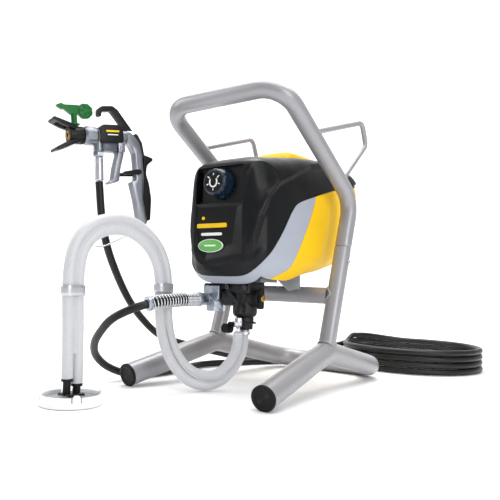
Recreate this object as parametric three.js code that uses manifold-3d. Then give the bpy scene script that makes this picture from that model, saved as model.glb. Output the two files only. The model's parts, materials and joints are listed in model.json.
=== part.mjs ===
// Airless paint sprayer: tube stand, electric piston pump in a moulded housing, suction set,
// high-pressure hose and spray gun. Millimetres, +Z up, the machine's front faces -Y.
import * as THREE from "three";
import { mergeVertices } from "three/addons/utils/BufferGeometryUtils.js";
import Module from "manifold-3d";

const wasm = await Module();
wasm.setup();

// ---------- driving dimensions ----------

const GAP = 0.3; // clearance between touching pieces

// Stand: one bent foot tube, two legs and a handle bow.
const FOOT_RADIUS = 17.5;
const LEG_RADIUS = 13.5;
const SPIGOT_RADIUS = 11.2;
const FOOT_FRONT = [127, -187, 16.6];
const FOOT_APEX = [111, 0, 61];
const FOOT_REAR = [103, 213, 16.6];
const LEG_TOP = [111, 73, 309];
const HANDLE = [111, -145, 442];
const SEAM_SHARE = 0.67; // where the bow plugs into the leg, along apex to leg top
const BUTTON_SHARE = 0.577;
const BUTTON_STROKE = 4;
const CROSSBAR_SHARE = 0.352;
const HOOK_X = 117;
const HOOK_RADIUS = 4;
const HOOK_POINTS = [[-64, 393], [96, 447], [113, 411], [30, 337]];

// Housing: cross-sections along Y as
// [y, half width, bottom z, top z, squareness of the lower half, of the upper half].
const HOUSING_SECTIONS = [
  [-136, 52, 188, 336, 4.2, 7],
  [-132, 62, 178, 344, 4.2, 6.5],
  [-124, 69, 169, 350, 4.2, 5.5],
  [-112, 75, 162, 355, 4.2, 4.8],
  [-90, 78, 160, 359, 4.2, 4.4],
  [-50, 80, 162, 366, 4.6, 4.6],
  [0, 80, 177, 375, 6.5, 5],
  [60, 80, 190, 382, 8, 5],
  [110, 80, 205, 384, 8, 5],
  [150, 79, 238, 380, 7, 5],
  [172, 75, 264, 371, 6, 5],
  [186, 66, 288, 358, 5, 5],
];
const CROWN_SECTIONS = [
  [-6, 35, 340, 376, 5, 5],
  [3, 38, 340, 387.5, 5, 5],
  [60, 40, 340, 389, 5, 5],
  [120, 38, 340, 389, 5, 5],
  [150, 34, 340, 384, 5, 5],
  [168, 30, 340, 371, 5, 5],
];
const CROWN_FRONT = -8;
const SHELL_WALL = 3;
const CROWN_HALF = 42;
// Parting line between the front cover and the shells behind it, and between those two, as [y, z].
const FRONT_PARTING = [
  [-128.5, 172], [-125.5, 183], [-117, 198], [-104, 213.4], [-80, 245], [-60, 275], [-47, 288],
  [10, 309], [82, 331], [164, 354], [200, 366],
];
const BAND_PARTING = [[-89, 170], [-56, 189], [-33, 224], [-5, 271], [15, 318]];

// Pressure knob.
const KNOB_CENTRE = [-3.4, 313];
const KNOB_RADIUS = 22;
const KNOB_BACK = -127;
const KNOB_FACE = -151;
const BAY_OUTLINE = [[-50, 283], [20, 283], [29, 293], [42, 339.5], [-50, 339.5]];

// Drive train.
const MOTOR_X = 14;
const MOTOR_Z = 292;
const GEAR_MODULE = 1.75;
const GEAR_TEETH = 40;
const PINION_TEETH = 10;
const CRANK_THROW = 6;
const PUMP_X = 14;
const PUMP_Y = -84;

// Hoses.
const TUBE_RADIUS = 7.5; // suction and return tubes
const HOSE_RADIUS = 6;
const COIL_CENTRE = [86, 424];
const COIL_RADIUS = 139; // middle of the strands
const COIL_HEIGHT = 48.6;

// Spray gun, placed by the top of its hose fitting.
const GUN_PLACE = [-169, -232, 351];
const GUN_HEADING = 251.5;
const GUN_PITCH = 4;
const BARREL_Z = 35;
const BARREL_PITCH = 4;
const BARREL_ROOT = [-36, 0, 24];

// ---------- materials ----------

function paint(color, roughness, metalness) {
  return () => new THREE.MeshStandardMaterial({ color, roughness, metalness });
}
const silverPaint = paint(0xa3a3a8, 0.45, 0.35);
const blackRubber = paint(0x151517, 0.7, 0);
const charcoal = paint(0x2b2c2f, 0.5, 0);
const greyPlastic = paint(0x9aa0ab, 0.45, 0);
const yellowPlastic = paint(0xf7b50a, 0.4, 0);
const navyPlastic = paint(0x1b2733, 0.4, 0);
const whitePlastic = paint(0xe9eaec, 0.5, 0);
const greenPlastic = paint(0x128a3c, 0.4, 0);
const clearTube = paint(0xdcdde0, 0.35, 0);
const zinc = paint(0xb5bac2, 0.35, 0.9);
const chrome = paint(0xd0d2d5, 0.2, 1);
const brass = paint(0xb98a3a, 0.3, 1);
const castAlloy = paint(0xc2c4c7, 0.35, 0.9);
const darkSteel = paint(0x55575b, 0.45, 0.9);
const copper = paint(0xb06a3c, 0.4, 0.9);
const boardGreen = paint(0x1f5b35, 0.6, 0);

// ---------- small tools ----------

const vec = (p) => new THREE.Vector3(...p);

function solid(geometry) {
  const plain = geometry.index ? geometry.clone() : geometry;
  plain.deleteAttribute("normal");
  plain.deleteAttribute("uv");
  const merged = mergeVertices(plain, 1e-4);
  return new wasm.Manifold(
    new wasm.Mesh({
      numProp: 3,
      vertProperties: Float32Array.from(merged.attributes.position.array),
      triVerts: Uint32Array.from(merged.index.array),
    }),
  );
}

function surface(manifold) {
  const mesh = manifold.getMesh();
  const geometry = new THREE.BufferGeometry();
  geometry.setAttribute("position", new THREE.BufferAttribute(mesh.vertProperties, 3));
  geometry.setIndex(new THREE.BufferAttribute(mesh.triVerts, 1));
  geometry.computeVertexNormals();
  return geometry;
}

const join = (...parts) => parts.reduce((whole, part) => whole.add(part));
const cut = (whole, ...tools) => tools.reduce((rest, tool) => rest.subtract(tool), whole);

function block(x0, x1, y0, y1, z0, z1) {
  const box = new THREE.BoxGeometry(x1 - x0, y1 - y0, z1 - z0);
  return solid(box.translate((x0 + x1) / 2, (y0 + y1) / 2, (z0 + z1) / 2));
}

// A straight round or polygonal bar from a to b.
function bar(a, b, radius, sides = 16, endRadius = radius) {
  const from = vec(a);
  const along = vec(b).sub(from);
  const shape = new THREE.CylinderGeometry(endRadius, radius, along.length(), sides);
  shape.translate(0, along.length() / 2, 0);
  shape.applyQuaternion(
    new THREE.Quaternion().setFromUnitVectors(new THREE.Vector3(0, 1, 0), along.normalize()),
  );
  return solid(shape.translate(from.x, from.y, from.z));
}

function sweep(curve, radius, sides, steps) {
  const section = new THREE.Shape();
  for (let i = 0; i < sides; i += 1) {
    const angle = ((i + 0.5) / sides) * 2 * Math.PI;
    const point = [radius * Math.cos(angle), radius * Math.sin(angle)];
    if (i === 0) {
      section.moveTo(...point);
    } else {
      section.lineTo(...point);
    }
  }
  section.closePath();
  return solid(
    new THREE.ExtrudeGeometry(section, { steps, bevelEnabled: false, extrudePath: curve }),
  );
}

// Straight runs joined by arcs: points with a bend radius at each inner corner.
function bentPath(points, bendRadius) {
  const path = new THREE.CurvePath();
  let start = vec(points[0]);
  for (let i = 1; i < points.length - 1; i += 1) {
    const corner = vec(points[i]);
    const toward = vec(points[i - 1]).sub(corner).normalize();
    const away = vec(points[i + 1]).sub(corner).normalize();
    const half = toward.angleTo(away) / 2;
    const reach = bendRadius / Math.tan(half);
    const entry = corner.clone().addScaledVector(toward, reach);
    const exit = corner.clone().addScaledVector(away, reach);
    const handle = (4 / 3) * Math.tan((Math.PI / 2 - half) / 2) * bendRadius;
    path.add(new THREE.LineCurve3(start, entry));
    path.add(
      new THREE.CubicBezierCurve3(
        entry,
        entry.clone().addScaledVector(toward, -handle),
        exit.clone().addScaledVector(away, -handle),
        exit,
      ),
    );
    start = exit;
  }
  path.add(new THREE.LineCurve3(start, vec(points[points.length - 1])));
  return path;
}

const smoothPath = (points) => new THREE.CatmullRomCurve3(points.map(vec), false, "centripetal");

// A flat plate: outline in the X-Z plane, thickness along Y about y.
function plate(outline, thickness, y = 0) {
  const shape = new THREE.Shape(outline.map((p) => new THREE.Vector2(...p)));
  const geometry = new THREE.ExtrudeGeometry(shape, { depth: thickness, bevelEnabled: false });
  return solid(geometry.rotateX(Math.PI / 2).translate(0, y + thickness / 2, 0));
}

// A prism: outline in the Y-Z plane, from x0 to x1.
function prism(outline, x0, x1) {
  const shape = new THREE.Shape(outline.map((p) => new THREE.Vector2(...p)));
  const geometry = new THREE.ExtrudeGeometry(shape, { depth: x1 - x0, bevelEnabled: false });
  geometry.applyMatrix4(new THREE.Matrix4().set(0, 0, 1, x0, 1, 0, 0, 0, 0, 1, 0, 0, 0, 0, 0, 1));
  return solid(geometry);
}

// A turned piece: profile of [radius, height], axis from a point along a direction.
function turned(profile, at, direction, sides = 20) {
  const shape = new THREE.LatheGeometry(
    profile.map((p) => new THREE.Vector2(...p)),
    sides,
  );
  shape.applyQuaternion(
    new THREE.Quaternion().setFromUnitVectors(new THREE.Vector3(0, 1, 0), vec(direction)),
  );
  return solid(shape.translate(...at));
}

function alongLine(a, b, share) {
  return vec(a).lerp(vec(b), share).toArray();
}

const sprayer = new THREE.Group();
const gun = new THREE.Group();

function piece(name, shape, material, parent = sprayer) {
  const mesh = new THREE.Mesh(surface(shape), material());
  mesh.name = name;
  parent.add(mesh);
  return mesh;
}

const mirrored = (point, side) => [side * point[0], point[1], point[2]];

// ---------- stand ----------

const footPoints = (inset) => {
  const lead = vec(FOOT_APEX).sub(vec(FOOT_FRONT)).normalize().multiplyScalar(inset);
  const front = vec(FOOT_FRONT).add(lead).toArray();
  return [
    mirrored(front, 1),
    mirrored(FOOT_APEX, 1),
    mirrored(FOOT_REAR, 1),
    mirrored(FOOT_REAR, -1),
    mirrored(FOOT_APEX, -1),
    mirrored(front, -1),
  ];
};
const belowFloor = () => block(-400, 400, -500, 700, -60, 0);

function footTube(radius, sides) {
  const steps = 44;
  return sweep(bentPath(footPoints(0), 52), radius, sides, steps);
}

function addFoot() {
  const axis = vec(FOOT_APEX).sub(vec(FOOT_FRONT)).normalize();
  let tube = footTube(FOOT_RADIUS, 12);
  for (const side of [1, -1]) {
    const front = mirrored(FOOT_FRONT, side);
    const inward = mirrored(axis.toArray(), side);
    const at = (distance) => vec(front).addScaledVector(vec(inward), distance).toArray();
    tube = tube.subtract(bar(at(-2), at(16 + GAP), 15 + GAP, 14));
    const cap = join(bar(at(-4.3), at(-GAP), FOOT_RADIUS + 0.4, 20), bar(at(-2), at(16), 15, 14));
    const name = side > 0 ? "right_foot_cap" : "left_foot_cap";
    piece(name, cap.subtract(belowFloor()), blackRubber);
  }
  piece("foot_tube", tube.subtract(belowFloor()), silverPaint);
}

function addLeg(side) {
  const apex = mirrored(FOOT_APEX, side);
  const top = mirrored(LEG_TOP, side);
  const seam = alongLine(apex, top, SEAM_SHARE);
  const pocket = alongLine(apex, top, SEAM_SHARE - 0.22);
  const beyond = alongLine(apex, top, SEAM_SHARE + 0.05);
  const button = alongLine(apex, top, BUTTON_SHARE);
  const outward = [button[0] + side * 20, button[1], button[2]];
  const leg = cut(
    bar(apex, seam, LEG_RADIUS, 16),
    bar(pocket, beyond, SPIGOT_RADIUS + GAP, 16),
    bar(button, outward, 4, 12),
    footTube(FOOT_RADIUS + 2 * GAP, 12),
  );
  piece(side > 0 ? "right_leg" : "left_leg", leg, silverPaint);
  const tip = [button[0] + side * 17, button[1], button[2]];
  const root = [button[0] + side * 4, button[1], button[2]];
  piece(side > 0 ? "right_snap_button" : "left_snap_button", bar(root, tip, 3.4, 12), zinc);
}

function bowPath() {
  const points = [];
  for (const side of [1, -1]) {
    const apex = mirrored(FOOT_APEX, side);
    const top = mirrored(LEG_TOP, side);
    const seam = vec(apex).lerp(vec(top), SEAM_SHARE);
    seam.addScaledVector(vec(top).sub(vec(apex)).normalize(), GAP);
    const run = [seam.toArray(), top, mirrored(HANDLE, side)];
    points.push(...(side > 0 ? run : run.reverse()));
  }
  return bentPath(points, 42);
}

function addHandleBow() {
  let bow = sweep(bowPath(), LEG_RADIUS, 12, 48);
  for (const side of [1, -1]) {
    const apex = mirrored(FOOT_APEX, side);
    const top = mirrored(LEG_TOP, side);
    const low = alongLine(apex, top, SEAM_SHARE - 0.21);
    const high = alongLine(apex, top, SEAM_SHARE + 0.04);
    const button = alongLine(apex, top, BUTTON_SHARE);
    const inner = [button[0] - side * (BUTTON_STROKE + 1), button[1], button[2]];
    const outer = [button[0] + side * 20, button[1], button[2]];
    bow = bow.add(bar(low, high, SPIGOT_RADIUS, 16)).subtract(bar(inner, outer, 4, 12));
  }
  piece("handle_bow", bow, silverPaint);
}

const crossbarCentre = alongLine(FOOT_APEX, LEG_TOP, CROSSBAR_SHARE);

function addCrossbar() {
  const [x, y, z] = crossbarCentre;
  const legs = [1, -1].map((side) =>
    bar(mirrored(FOOT_APEX, side), mirrored(LEG_TOP, side), LEG_RADIUS + GAP, 16),
  );
  piece("crossbar", cut(bar([-x, y, z], [x, y, z], LEG_RADIUS, 16), ...legs), silverPaint);
}

function addHoseHook(side) {
  const points = HOOK_POINTS.map(([y, z]) => [side * HOOK_X, y, z]);
  const arm = bar(mirrored(LEG_TOP, side), mirrored(HANDLE, side), LEG_RADIUS + GAP, 16);
  const rod = sweep(bentPath(points, 13), HOOK_RADIUS, 8, 30).subtract(arm);
  piece(side > 0 ? "right_hose_hook" : "left_hose_hook", rod, silverPaint);
}

function addMountBracket() {
  const y = crossbarCentre[1] - LEG_RADIUS - GAP;
  const outline = [
    [-54, 158], [-33, 153], [-4, 176], [4, 176], [33, 153], [54, 158], [54, 203], [-54, 203],
  ];
  const web = plate(outline, 3, y - 1.5);
  const shelf = block(-54, 54, y - 3, 44, 200, 203);
  piece("mount_bracket", join(web, shelf), greyPlastic);
}

// ---------- housing ----------

// A body of rounded sections along Y, made from a cylinder whose rings are reshaped.
function loft(sections, sides) {
  const body = new THREE.CylinderGeometry(1, 1, 1, sides, sections.length - 1);
  const position = body.attributes.position;
  for (let i = 0; i < position.count; i += 1) {
    const x = position.getX(i);
    const z = position.getZ(i);
    const ring = Math.round((0.5 + position.getY(i)) * (sections.length - 1));
    const [y, half, low, high, base, crest] = sections[ring];
    const reach = Math.hypot(x, z);
    const power = 2 / (z > 0 ? crest : base);
    const across = Math.abs(x) < 1e-6 ? 0 : Math.sign(x) * Math.abs(x) ** power;
    const up = Math.abs(z) < 1e-6 ? 0 : Math.sign(z) * Math.abs(z) ** power;
    const scale = reach > 0.5 ? 1 : 0;
    position.setXYZ(i, scale * half * across, y, (low + high) / 2 + (scale * (high - low) * up) / 2);
  }
  return solid(body);
}

function grown(sections, amount) {
  const last = sections.length - 1;
  return sections.map(([y, half, low, high, base, crest], i) => {
    const shift = i === 0 ? -amount : i === last ? amount : 0;
    return [y + shift, half + amount, low - amount, high + amount, base, crest];
  });
}

// Height of a line of [y, z] points at y.
function heightAt(points, y) {
  const next = points.findIndex((point) => point[0] > y);
  const [y0, z0] = points[next - 1];
  const [y1, z1] = points[next];
  return z0 + ((z1 - z0) * (y - y0)) / (y1 - y0);
}

function housingZones() {
  const front = [...FRONT_PARTING, [200, 420], [-200, 420], [-200, 167], [-136, 170]];
  const shifted = (points, dy, dz) => points.map(([y, z]) => [y + dy, z + dz]);
  const lower = shifted(FRONT_PARTING, GAP, -GAP);
  const band = shifted(BAND_PARTING, -GAP / 2, 0);
  const rear = shifted(BAND_PARTING, GAP / 2, 0);
  return {
    front: prism(front, -100, 100),
    band: prism(
      [...band.slice(0, -1), [14.2, heightAt(lower, 14.2)],
        ...lower.filter(([y]) => y < 14.2).reverse(),
        [-136, 170 - GAP], [-200, 167 - GAP], [-200, 100], [-92, 100]],
      -100,
      100,
    ),
    rear: prism(
      [...rear.slice(0, -1), [14.6, heightAt(lower, 14.6)], ...lower.filter(([y]) => y > 14.6),
        [200, 100], [-91.6, 100]],
      -100,
      100,
    ),
  };
}

function addHousing() {
  const outer = loft(HOUSING_SECTIONS, 32);
  const inner = loft(grown(HOUSING_SECTIONS, -SHELL_WALL), 32);
  const crown = loft(CROWN_SECTIONS, 16);
  const crownInner = loft(grown(CROWN_SECTIONS, -SHELL_WALL), 16);
  const hollow = inner.add(crownInner);
  const pumpWindow = block(-60, 62, -112, 60, 140, 215);
  const shell = cut(outer, hollow, pumpWindow);
  const zones = housingZones();
  const strip = block(-CROWN_HALF - GAP, CROWN_HALF + GAP, CROWN_FRONT - GAP, 210, 300, 430);
  const bay = plate(BAY_OUTLINE, 30, KNOB_BACK - 15 - GAP);
  const knobHole = bar([KNOB_CENTRE[0], -160, KNOB_CENTRE[1]], [KNOB_CENTRE[0], -100, KNOB_CENTRE[1]], 5, 16);
  const rim = BAY_OUTLINE.map(([x, z]) => [
    x + Math.sign(x) * SHELL_WALL,
    z + Math.sign(z - KNOB_CENTRE[1]) * SHELL_WALL,
  ]);
  const cup = plate(rim, 33, KNOB_BACK - 13.5 - GAP).intersect(outer);
  const front = cut(shell.intersect(zones.front).subtract(strip).add(cup), bay, knobHole);
  piece("front_cover", front, charcoal);
  piece("middle_shell", shell.intersect(zones.band), greyPlastic);
  const stripInside = block(-CROWN_HALF, CROWN_HALF, CROWN_FRONT, 210, 300, 430);
  const roof = outer.add(crown).subtract(hollow).intersect(stripInside);
  const lowerRear = shell.intersect(zones.rear);
  const switchHole = block(-34, -6, 170, 200, 305, 335);
  const glandHole = bar([24, 170, 318], [24, 200, 318], 8, 16);
  const rear = cut(join(lowerRear, cut(roof, zones.band)), switchHole, glandHole);
  piece("rear_cover", rear, yellowPlastic);
}

function addRearFittings() {
  const wall = HOUSING_SECTIONS[HOUSING_SECTIONS.length - 1][0];
  const frame = cut(
    join(
      block(-36.5, -3.5, wall + GAP, wall + 2.5, 302.5, 337.5),
      block(-33.6, -6.4, wall - 12, wall + 1, 305.4, 334.6),
    ),
    block(-31, -9, wall - 9, wall + 6, 308, 332),
  );
  piece("power_switch_frame", frame, blackRubber);
  const rocker = prism(
    [[wall - 5, 320], [wall + 1.2, 309.5], [wall + 3.2, 310], [wall + 2.6, 320], [wall + 5, 328.6],
      [wall + 3.4, 329.8]],
    -30.4,
    -9.6,
  );
  piece("power_switch_rocker", rocker, charcoal);
  const gland = join(
    bar([24, wall - 8, 318], [24, wall + 2, 318], 7.6, 16),
    bar([24, wall + GAP, 318], [24, wall + 4, 318], 11, 16),
    bar([24, wall + 3, 318], [24, wall + 14, 318], 9, 16, 6),
  );
  const bore = bar([24, wall - 20, 318], [24, wall + 30, 318], 3.6, 10);
  piece("mains_inlet_gland", cut(gland, bore), blackRubber);
}

function addPressureKnob() {
  const [x, z] = KNOB_CENTRE;
  const depth = KNOB_BACK - KNOB_FACE - 1;
  const skirt = [[0, 0], [KNOB_RADIUS + 1.5, 0], [KNOB_RADIUS + 1.5, 5], [KNOB_RADIUS, 8]];
  const crest = [[KNOB_RADIUS - 1, depth - 3], [KNOB_RADIUS - 3.5, depth], [0, depth]];
  let knob = turned([...skirt, ...crest], [x, KNOB_BACK - 1, z], [0, -1, 0], 28);
  for (let i = 0; i < 14; i += 1) {
    const angle = (i / 14) * 2 * Math.PI;
    const cx = x + (KNOB_RADIUS + 1.3) * Math.cos(angle);
    const cz = z + (KNOB_RADIUS + 1.3) * Math.sin(angle);
    knob = knob.subtract(bar([cx, KNOB_BACK - 9, cz], [cx, KNOB_FACE - 5, cz], 1.8, 8));
  }
  knob = knob.add(bar([x, KNOB_BACK - 3, z], [x, KNOB_BACK + 8, z], 4.4, 12));
  piece("pressure_knob", knob, navyPlastic);
  const sensor = block(x - 14, x + 14, KNOB_BACK + 9, KNOB_BACK + 22, z - 14, z + 14);
  piece("pressure_control", sensor, blackRubber);
}

// ---------- drive ----------

// A spur gear outline with straight-sided teeth; the first tooth points along angle zero.
function gearOutline(teeth, turn) {
  const pitch = (GEAR_MODULE * teeth) / 2;
  const tip = pitch + GEAR_MODULE * 0.9;
  const root = pitch - GEAR_MODULE * 1.2;
  const points = [];
  for (let i = 0; i < teeth; i += 1) {
    const centre = ((i + turn) / teeth) * 2 * Math.PI;
    const wide = (0.3 * 2 * Math.PI) / teeth;
    const narrow = (0.13 * 2 * Math.PI) / teeth;
    for (const [radius, offset] of [[root, -wide], [tip, -narrow], [tip, narrow], [root, wide]]) {
      points.push([radius * Math.cos(centre + offset), radius * Math.sin(centre + offset)]);
    }
  }
  return points;
}

const gearDistance = (GEAR_MODULE * (GEAR_TEETH + PINION_TEETH)) / 2;
const gearZ = MOTOR_Z - gearDistance;

function addDrive() {
  const pinionOutline = gearOutline(PINION_TEETH, 0).map(([x, z]) => [x + MOTOR_X, z + MOTOR_Z]);
  piece("drive_pinion", plate(pinionOutline, 12, -50), darkSteel);
  const gearShape = gearOutline(GEAR_TEETH, 0).map(([x, z]) => [x + MOTOR_X, z + gearZ]);
  const wheel = plate(gearShape, 9, -50);
  const hub = bar([MOTOR_X, -28, gearZ], [MOTOR_X, -60, gearZ], 11, 16);
  const crank = bar([MOTOR_X + CRANK_THROW, -59, gearZ], [MOTOR_X + CRANK_THROW, -92, gearZ], 4, 12);
  piece("drive_gear", join(wheel, hub, crank), darkSteel);

  const shaft = join(
    bar([MOTOR_X, -43.7, MOTOR_Z], [MOTOR_X, 122, MOTOR_Z], 4, 12),
    bar([MOTOR_X, 22, MOTOR_Z], [MOTOR_X, 88, MOTOR_Z], 22, 20),
    bar([MOTOR_X, 92, MOTOR_Z], [MOTOR_X, 106, MOTOR_Z], 11, 16),
  );
  piece("motor_armature", shaft, copper);
  const stator = cut(
    bar([MOTOR_X, 20, MOTOR_Z], [MOTOR_X, 90, MOTOR_Z], 42, 20),
    bar([MOTOR_X, 10, MOTOR_Z], [MOTOR_X, 100, MOTOR_Z], 24, 20),
  );
  piece("motor_stator", stator, darkSteel);
  let fan = bar([MOTOR_X, 122.4, MOTOR_Z], [MOTOR_X, 134, MOTOR_Z], 12, 16);
  for (let i = 0; i < 7; i += 1) {
    const blade = block(-2, 2, -5, 5, 8, 36).rotate([0, 0, 0]);
    const tilt = new THREE.Matrix4().makeRotationZ(0.5);
    const around = new THREE.Matrix4().makeRotationY((i / 7) * 2 * Math.PI);
    const place = new THREE.Matrix4().makeTranslation(MOTOR_X, 128.2, MOTOR_Z);
    const matrix = place.multiply(around).multiply(tilt);
    fan = fan.add(blade.transform([...matrix.elements]));
  }
  piece("cooling_fan", fan, charcoal);

  // Casting that carries the motor, the gears and the pump, bolted on the bracket's shelf.
  const casting = cut(
    join(
      block(-48, 58, -104, 44, 203 + GAP, 209),
      block(-40, 58, -24, -16, 206, 322),
      block(-30, 56, -104, -60, 166, 206),
      block(-40, -34, -60, 16, 206, 320),
      block(-40, -26, 10, 16, 206, 320),
    ),
    bar([MOTOR_X, -40, MOTOR_Z], [MOTOR_X, 0, MOTOR_Z], 4 + GAP, 16),
    bar([MOTOR_X, -40, gearZ], [MOTOR_X, 0, gearZ], 6, 16),
    bar([MOTOR_X, -60, gearZ], [MOTOR_X, -26, gearZ], GEAR_MODULE * 22 + 2, 32),
    bar([PUMP_X, PUMP_Y, 150], [PUMP_X, PUMP_Y, 230], 15, 20),
  );
  piece("drive_casting", casting, castAlloy);

  const window = 2 * (2 * CRANK_THROW + 5);
  const yokeTop = gearZ + window / 2 + 5;
  const yokeLow = gearZ - window / 2 - 5;
  const yoke = cut(
    block(PUMP_X - 17, PUMP_X + 17, PUMP_Y - 5, PUMP_Y + 5, yokeLow, yokeTop),
    block(PUMP_X - 11.5, PUMP_X + 11.5, PUMP_Y - 9, PUMP_Y + 9, yokeLow + 5, yokeTop - 5),
  );
  piece("drive_yoke", yoke, darkSteel);
  piece(
    "pump_piston",
    bar([PUMP_X, PUMP_Y, yokeLow - GAP], [PUMP_X, PUMP_Y, 126], 8, 16),
    chrome,
  );
  piece("circuit_board", block(-62, -59.5, -60, 40, 232, 322), boardGreen);
}

// ---------- pump and fluid section ----------

function addPump() {
  const bore = bar([PUMP_X, PUMP_Y, 114], [PUMP_X, PUMP_Y, 220], 8 + 0.5, 16);
  const body = cut(
    join(
      bar([PUMP_X, PUMP_Y, 112], [PUMP_X, PUMP_Y, 165.7], 19, 24),
      block(PUMP_X - 24, PUMP_X + 21, PUMP_Y - 20, PUMP_Y + 22, 148, 165.7),
      bar([-18, PUMP_Y - 12, 141], [PUMP_X, PUMP_Y, 141], 13, 16),
      prism([[-100, 150], [-70, 150], [-72, 118], [-92, 112]], -12, 12),
      bar([PUMP_X, PUMP_Y - 3, 141], [PUMP_X + 22, PUMP_Y - 3, 141], 12, 18),
      bar([20, PUMP_Y - 23, 115], [16, PUMP_Y - 12, 140], 7, 12),
    ),
    bore,
    bar([-60, PUMP_Y - 12, 141], [-17.7, PUMP_Y - 12, 141], 30, 16),
    bar([PUMP_X + 15, PUMP_Y - 3, 141], [60, PUMP_Y - 3, 141], 4.6, 12),
  );
  piece("pump_block", body, charcoal);

  const valve = turned(
    [[0, 0], [13, 0], [13, 9], [17.5, 9], [18.5, 10], [18.5, 11.5], [14, 12], [14, 18.4], [0, 18.4]],
    [PUMP_X, PUMP_Y, 93],
    [0, 0, 1],
    24,
  );
  const pusherBore = bar([-20, PUMP_Y, 99], [PUMP_X - 6, PUMP_Y, 99], 4.3, 12);
  piece("inlet_valve_housing", cut(valve, pusherBore), charcoal);
  const pusher = join(
    bar([PUMP_X - 9, PUMP_Y, 99], [PUMP_X - 16, PUMP_Y, 99], 4, 12),
    bar([PUMP_X - 30, PUMP_Y, 99], [PUMP_X - 15.5, PUMP_Y, 99], 4, 12),
    bar([PUMP_X - 43, PUMP_Y, 92], [PUMP_X - 25, PUMP_Y, 92], 7.6, 18),
  );
  piece("inlet_pusher", pusher, blackRubber);

  const valveX = PUMP_X + 22;
  const stemY = PUMP_Y - 3;
  const stem = join(
    bar([valveX - 6.5, stemY, 141], [valveX + 13.6, stemY, 141], 4.2, 12),
    bar([valveX + 12.6, stemY, 141], [valveX + 14.6, stemY, 141], 5, 12),
  );
  piece("relief_valve_stem", stem, brass);
  const knob = cut(
    join(
      bar([valveX + 0.5, stemY, 141], [valveX + 9, stemY, 141], 13, 20),
      block(valveX + 6, valveX + 12.2, stemY - 6, stemY + 6, 125, 157),
    ),
    bar([valveX - 5, stemY, 141], [valveX + 20, stemY, 141], 4.2 + GAP, 12),
  );
  piece("relief_knob", knob, blackRubber);
}

function addOutlet() {
  const y = PUMP_Y - 12;
  const blockBody = cut(
    join(
      block(-50, -18.3, y - 14, y + 12, 134, 162),
      bar([-34, y - 1, 119], [-34, y - 1, 136], 15, 6),
      bar([-38, y - 22, 137], [-38, y - 12, 137], 9, 18),
    ),
    bar([-38, y - 40, 137], [-38, y - 6, 137], 4, 12),
  );
  piece("outlet_block", blockBody, zinc);
  const nut = turned(
    [[6.4, 0], [8.6, 0], [8.6, 12], [6.4, 12], [6.4, 0]],
    [-38, y - 22.3, 137],
    [0, -1, 0],
    6,
  );
  piece("hose_nut", nut, zinc);
  const start = [-38, PUMP_SIDE_ROUTE[0][1] - 0.6, 137];
  const guard = cut(
    sweep(smoothPath([start, ...PUMP_SIDE_ROUTE.slice(1, 3)]), 8.8, 14, 12),
    pumpSideHose(HOSE_RADIUS + 2 * GAP),
  );
  piece("spring_guard", guard, chrome);

  const fitting = join(
    bar([20, PUMP_Y - 23, 98], [20, PUMP_Y - 23, 111.6], 5.6, 6),
    bar([20, PUMP_Y - 23, 90.3], [20, PUMP_Y - 23, 99], 3, 12),
  );
  piece("return_fitting", fitting, chrome);
}

// ---------- suction set ----------

// The middle of the two tubes, which lie side by side from the strainer to the pump.
const PAIR_ROUTE = [
  [-77, -329, 34], [-77, -331.5, 90], [-78, -334, 146], [-78, -334, 172], [-77, -330, 199],
  [-76, -320, 217], [-74, -302, 231], [-72, -279, 238], [-70, -254, 238], [-68, -231, 230],
  [-67, -210, 216], [-66, -196, 199], [-65, -187, 178], [-65, -183, 152], [-65, -181, 120],
  [-62, -177, 84], [-55, -170, 56], [-45, -160, 35], [-33, -147, 21], [-19, -132, 16],
  [-5, -117, 21], [6, -106, 36], [13, -98, 54], [16, -96, 68],
];
const PAIR_SPACING = 15.5;
const SUCTION_END = [[14, -84.5, 81], [14, -84, 92.2]];
const RETURN_END = [[19.5, -106.5, 80], [20, -107, 90]];
const STRAINER = [-77, -329];

// One tube of the pair: side 1 runs outside the arch, side -1 inside it.
function besidePair(side) {
  return PAIR_ROUTE.map((point, i) => {
    const before = PAIR_ROUTE[Math.max(i - 1, 0)];
    const after = PAIR_ROUTE[Math.min(i + 1, PAIR_ROUTE.length - 1)];
    const run = after[1] - before[1];
    const rise = after[2] - before[2];
    const reach = (side * PAIR_SPACING) / 2 / Math.hypot(run, rise);
    return [point[0], point[1] - rise * reach, point[2] + run * reach];
  });
}

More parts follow.
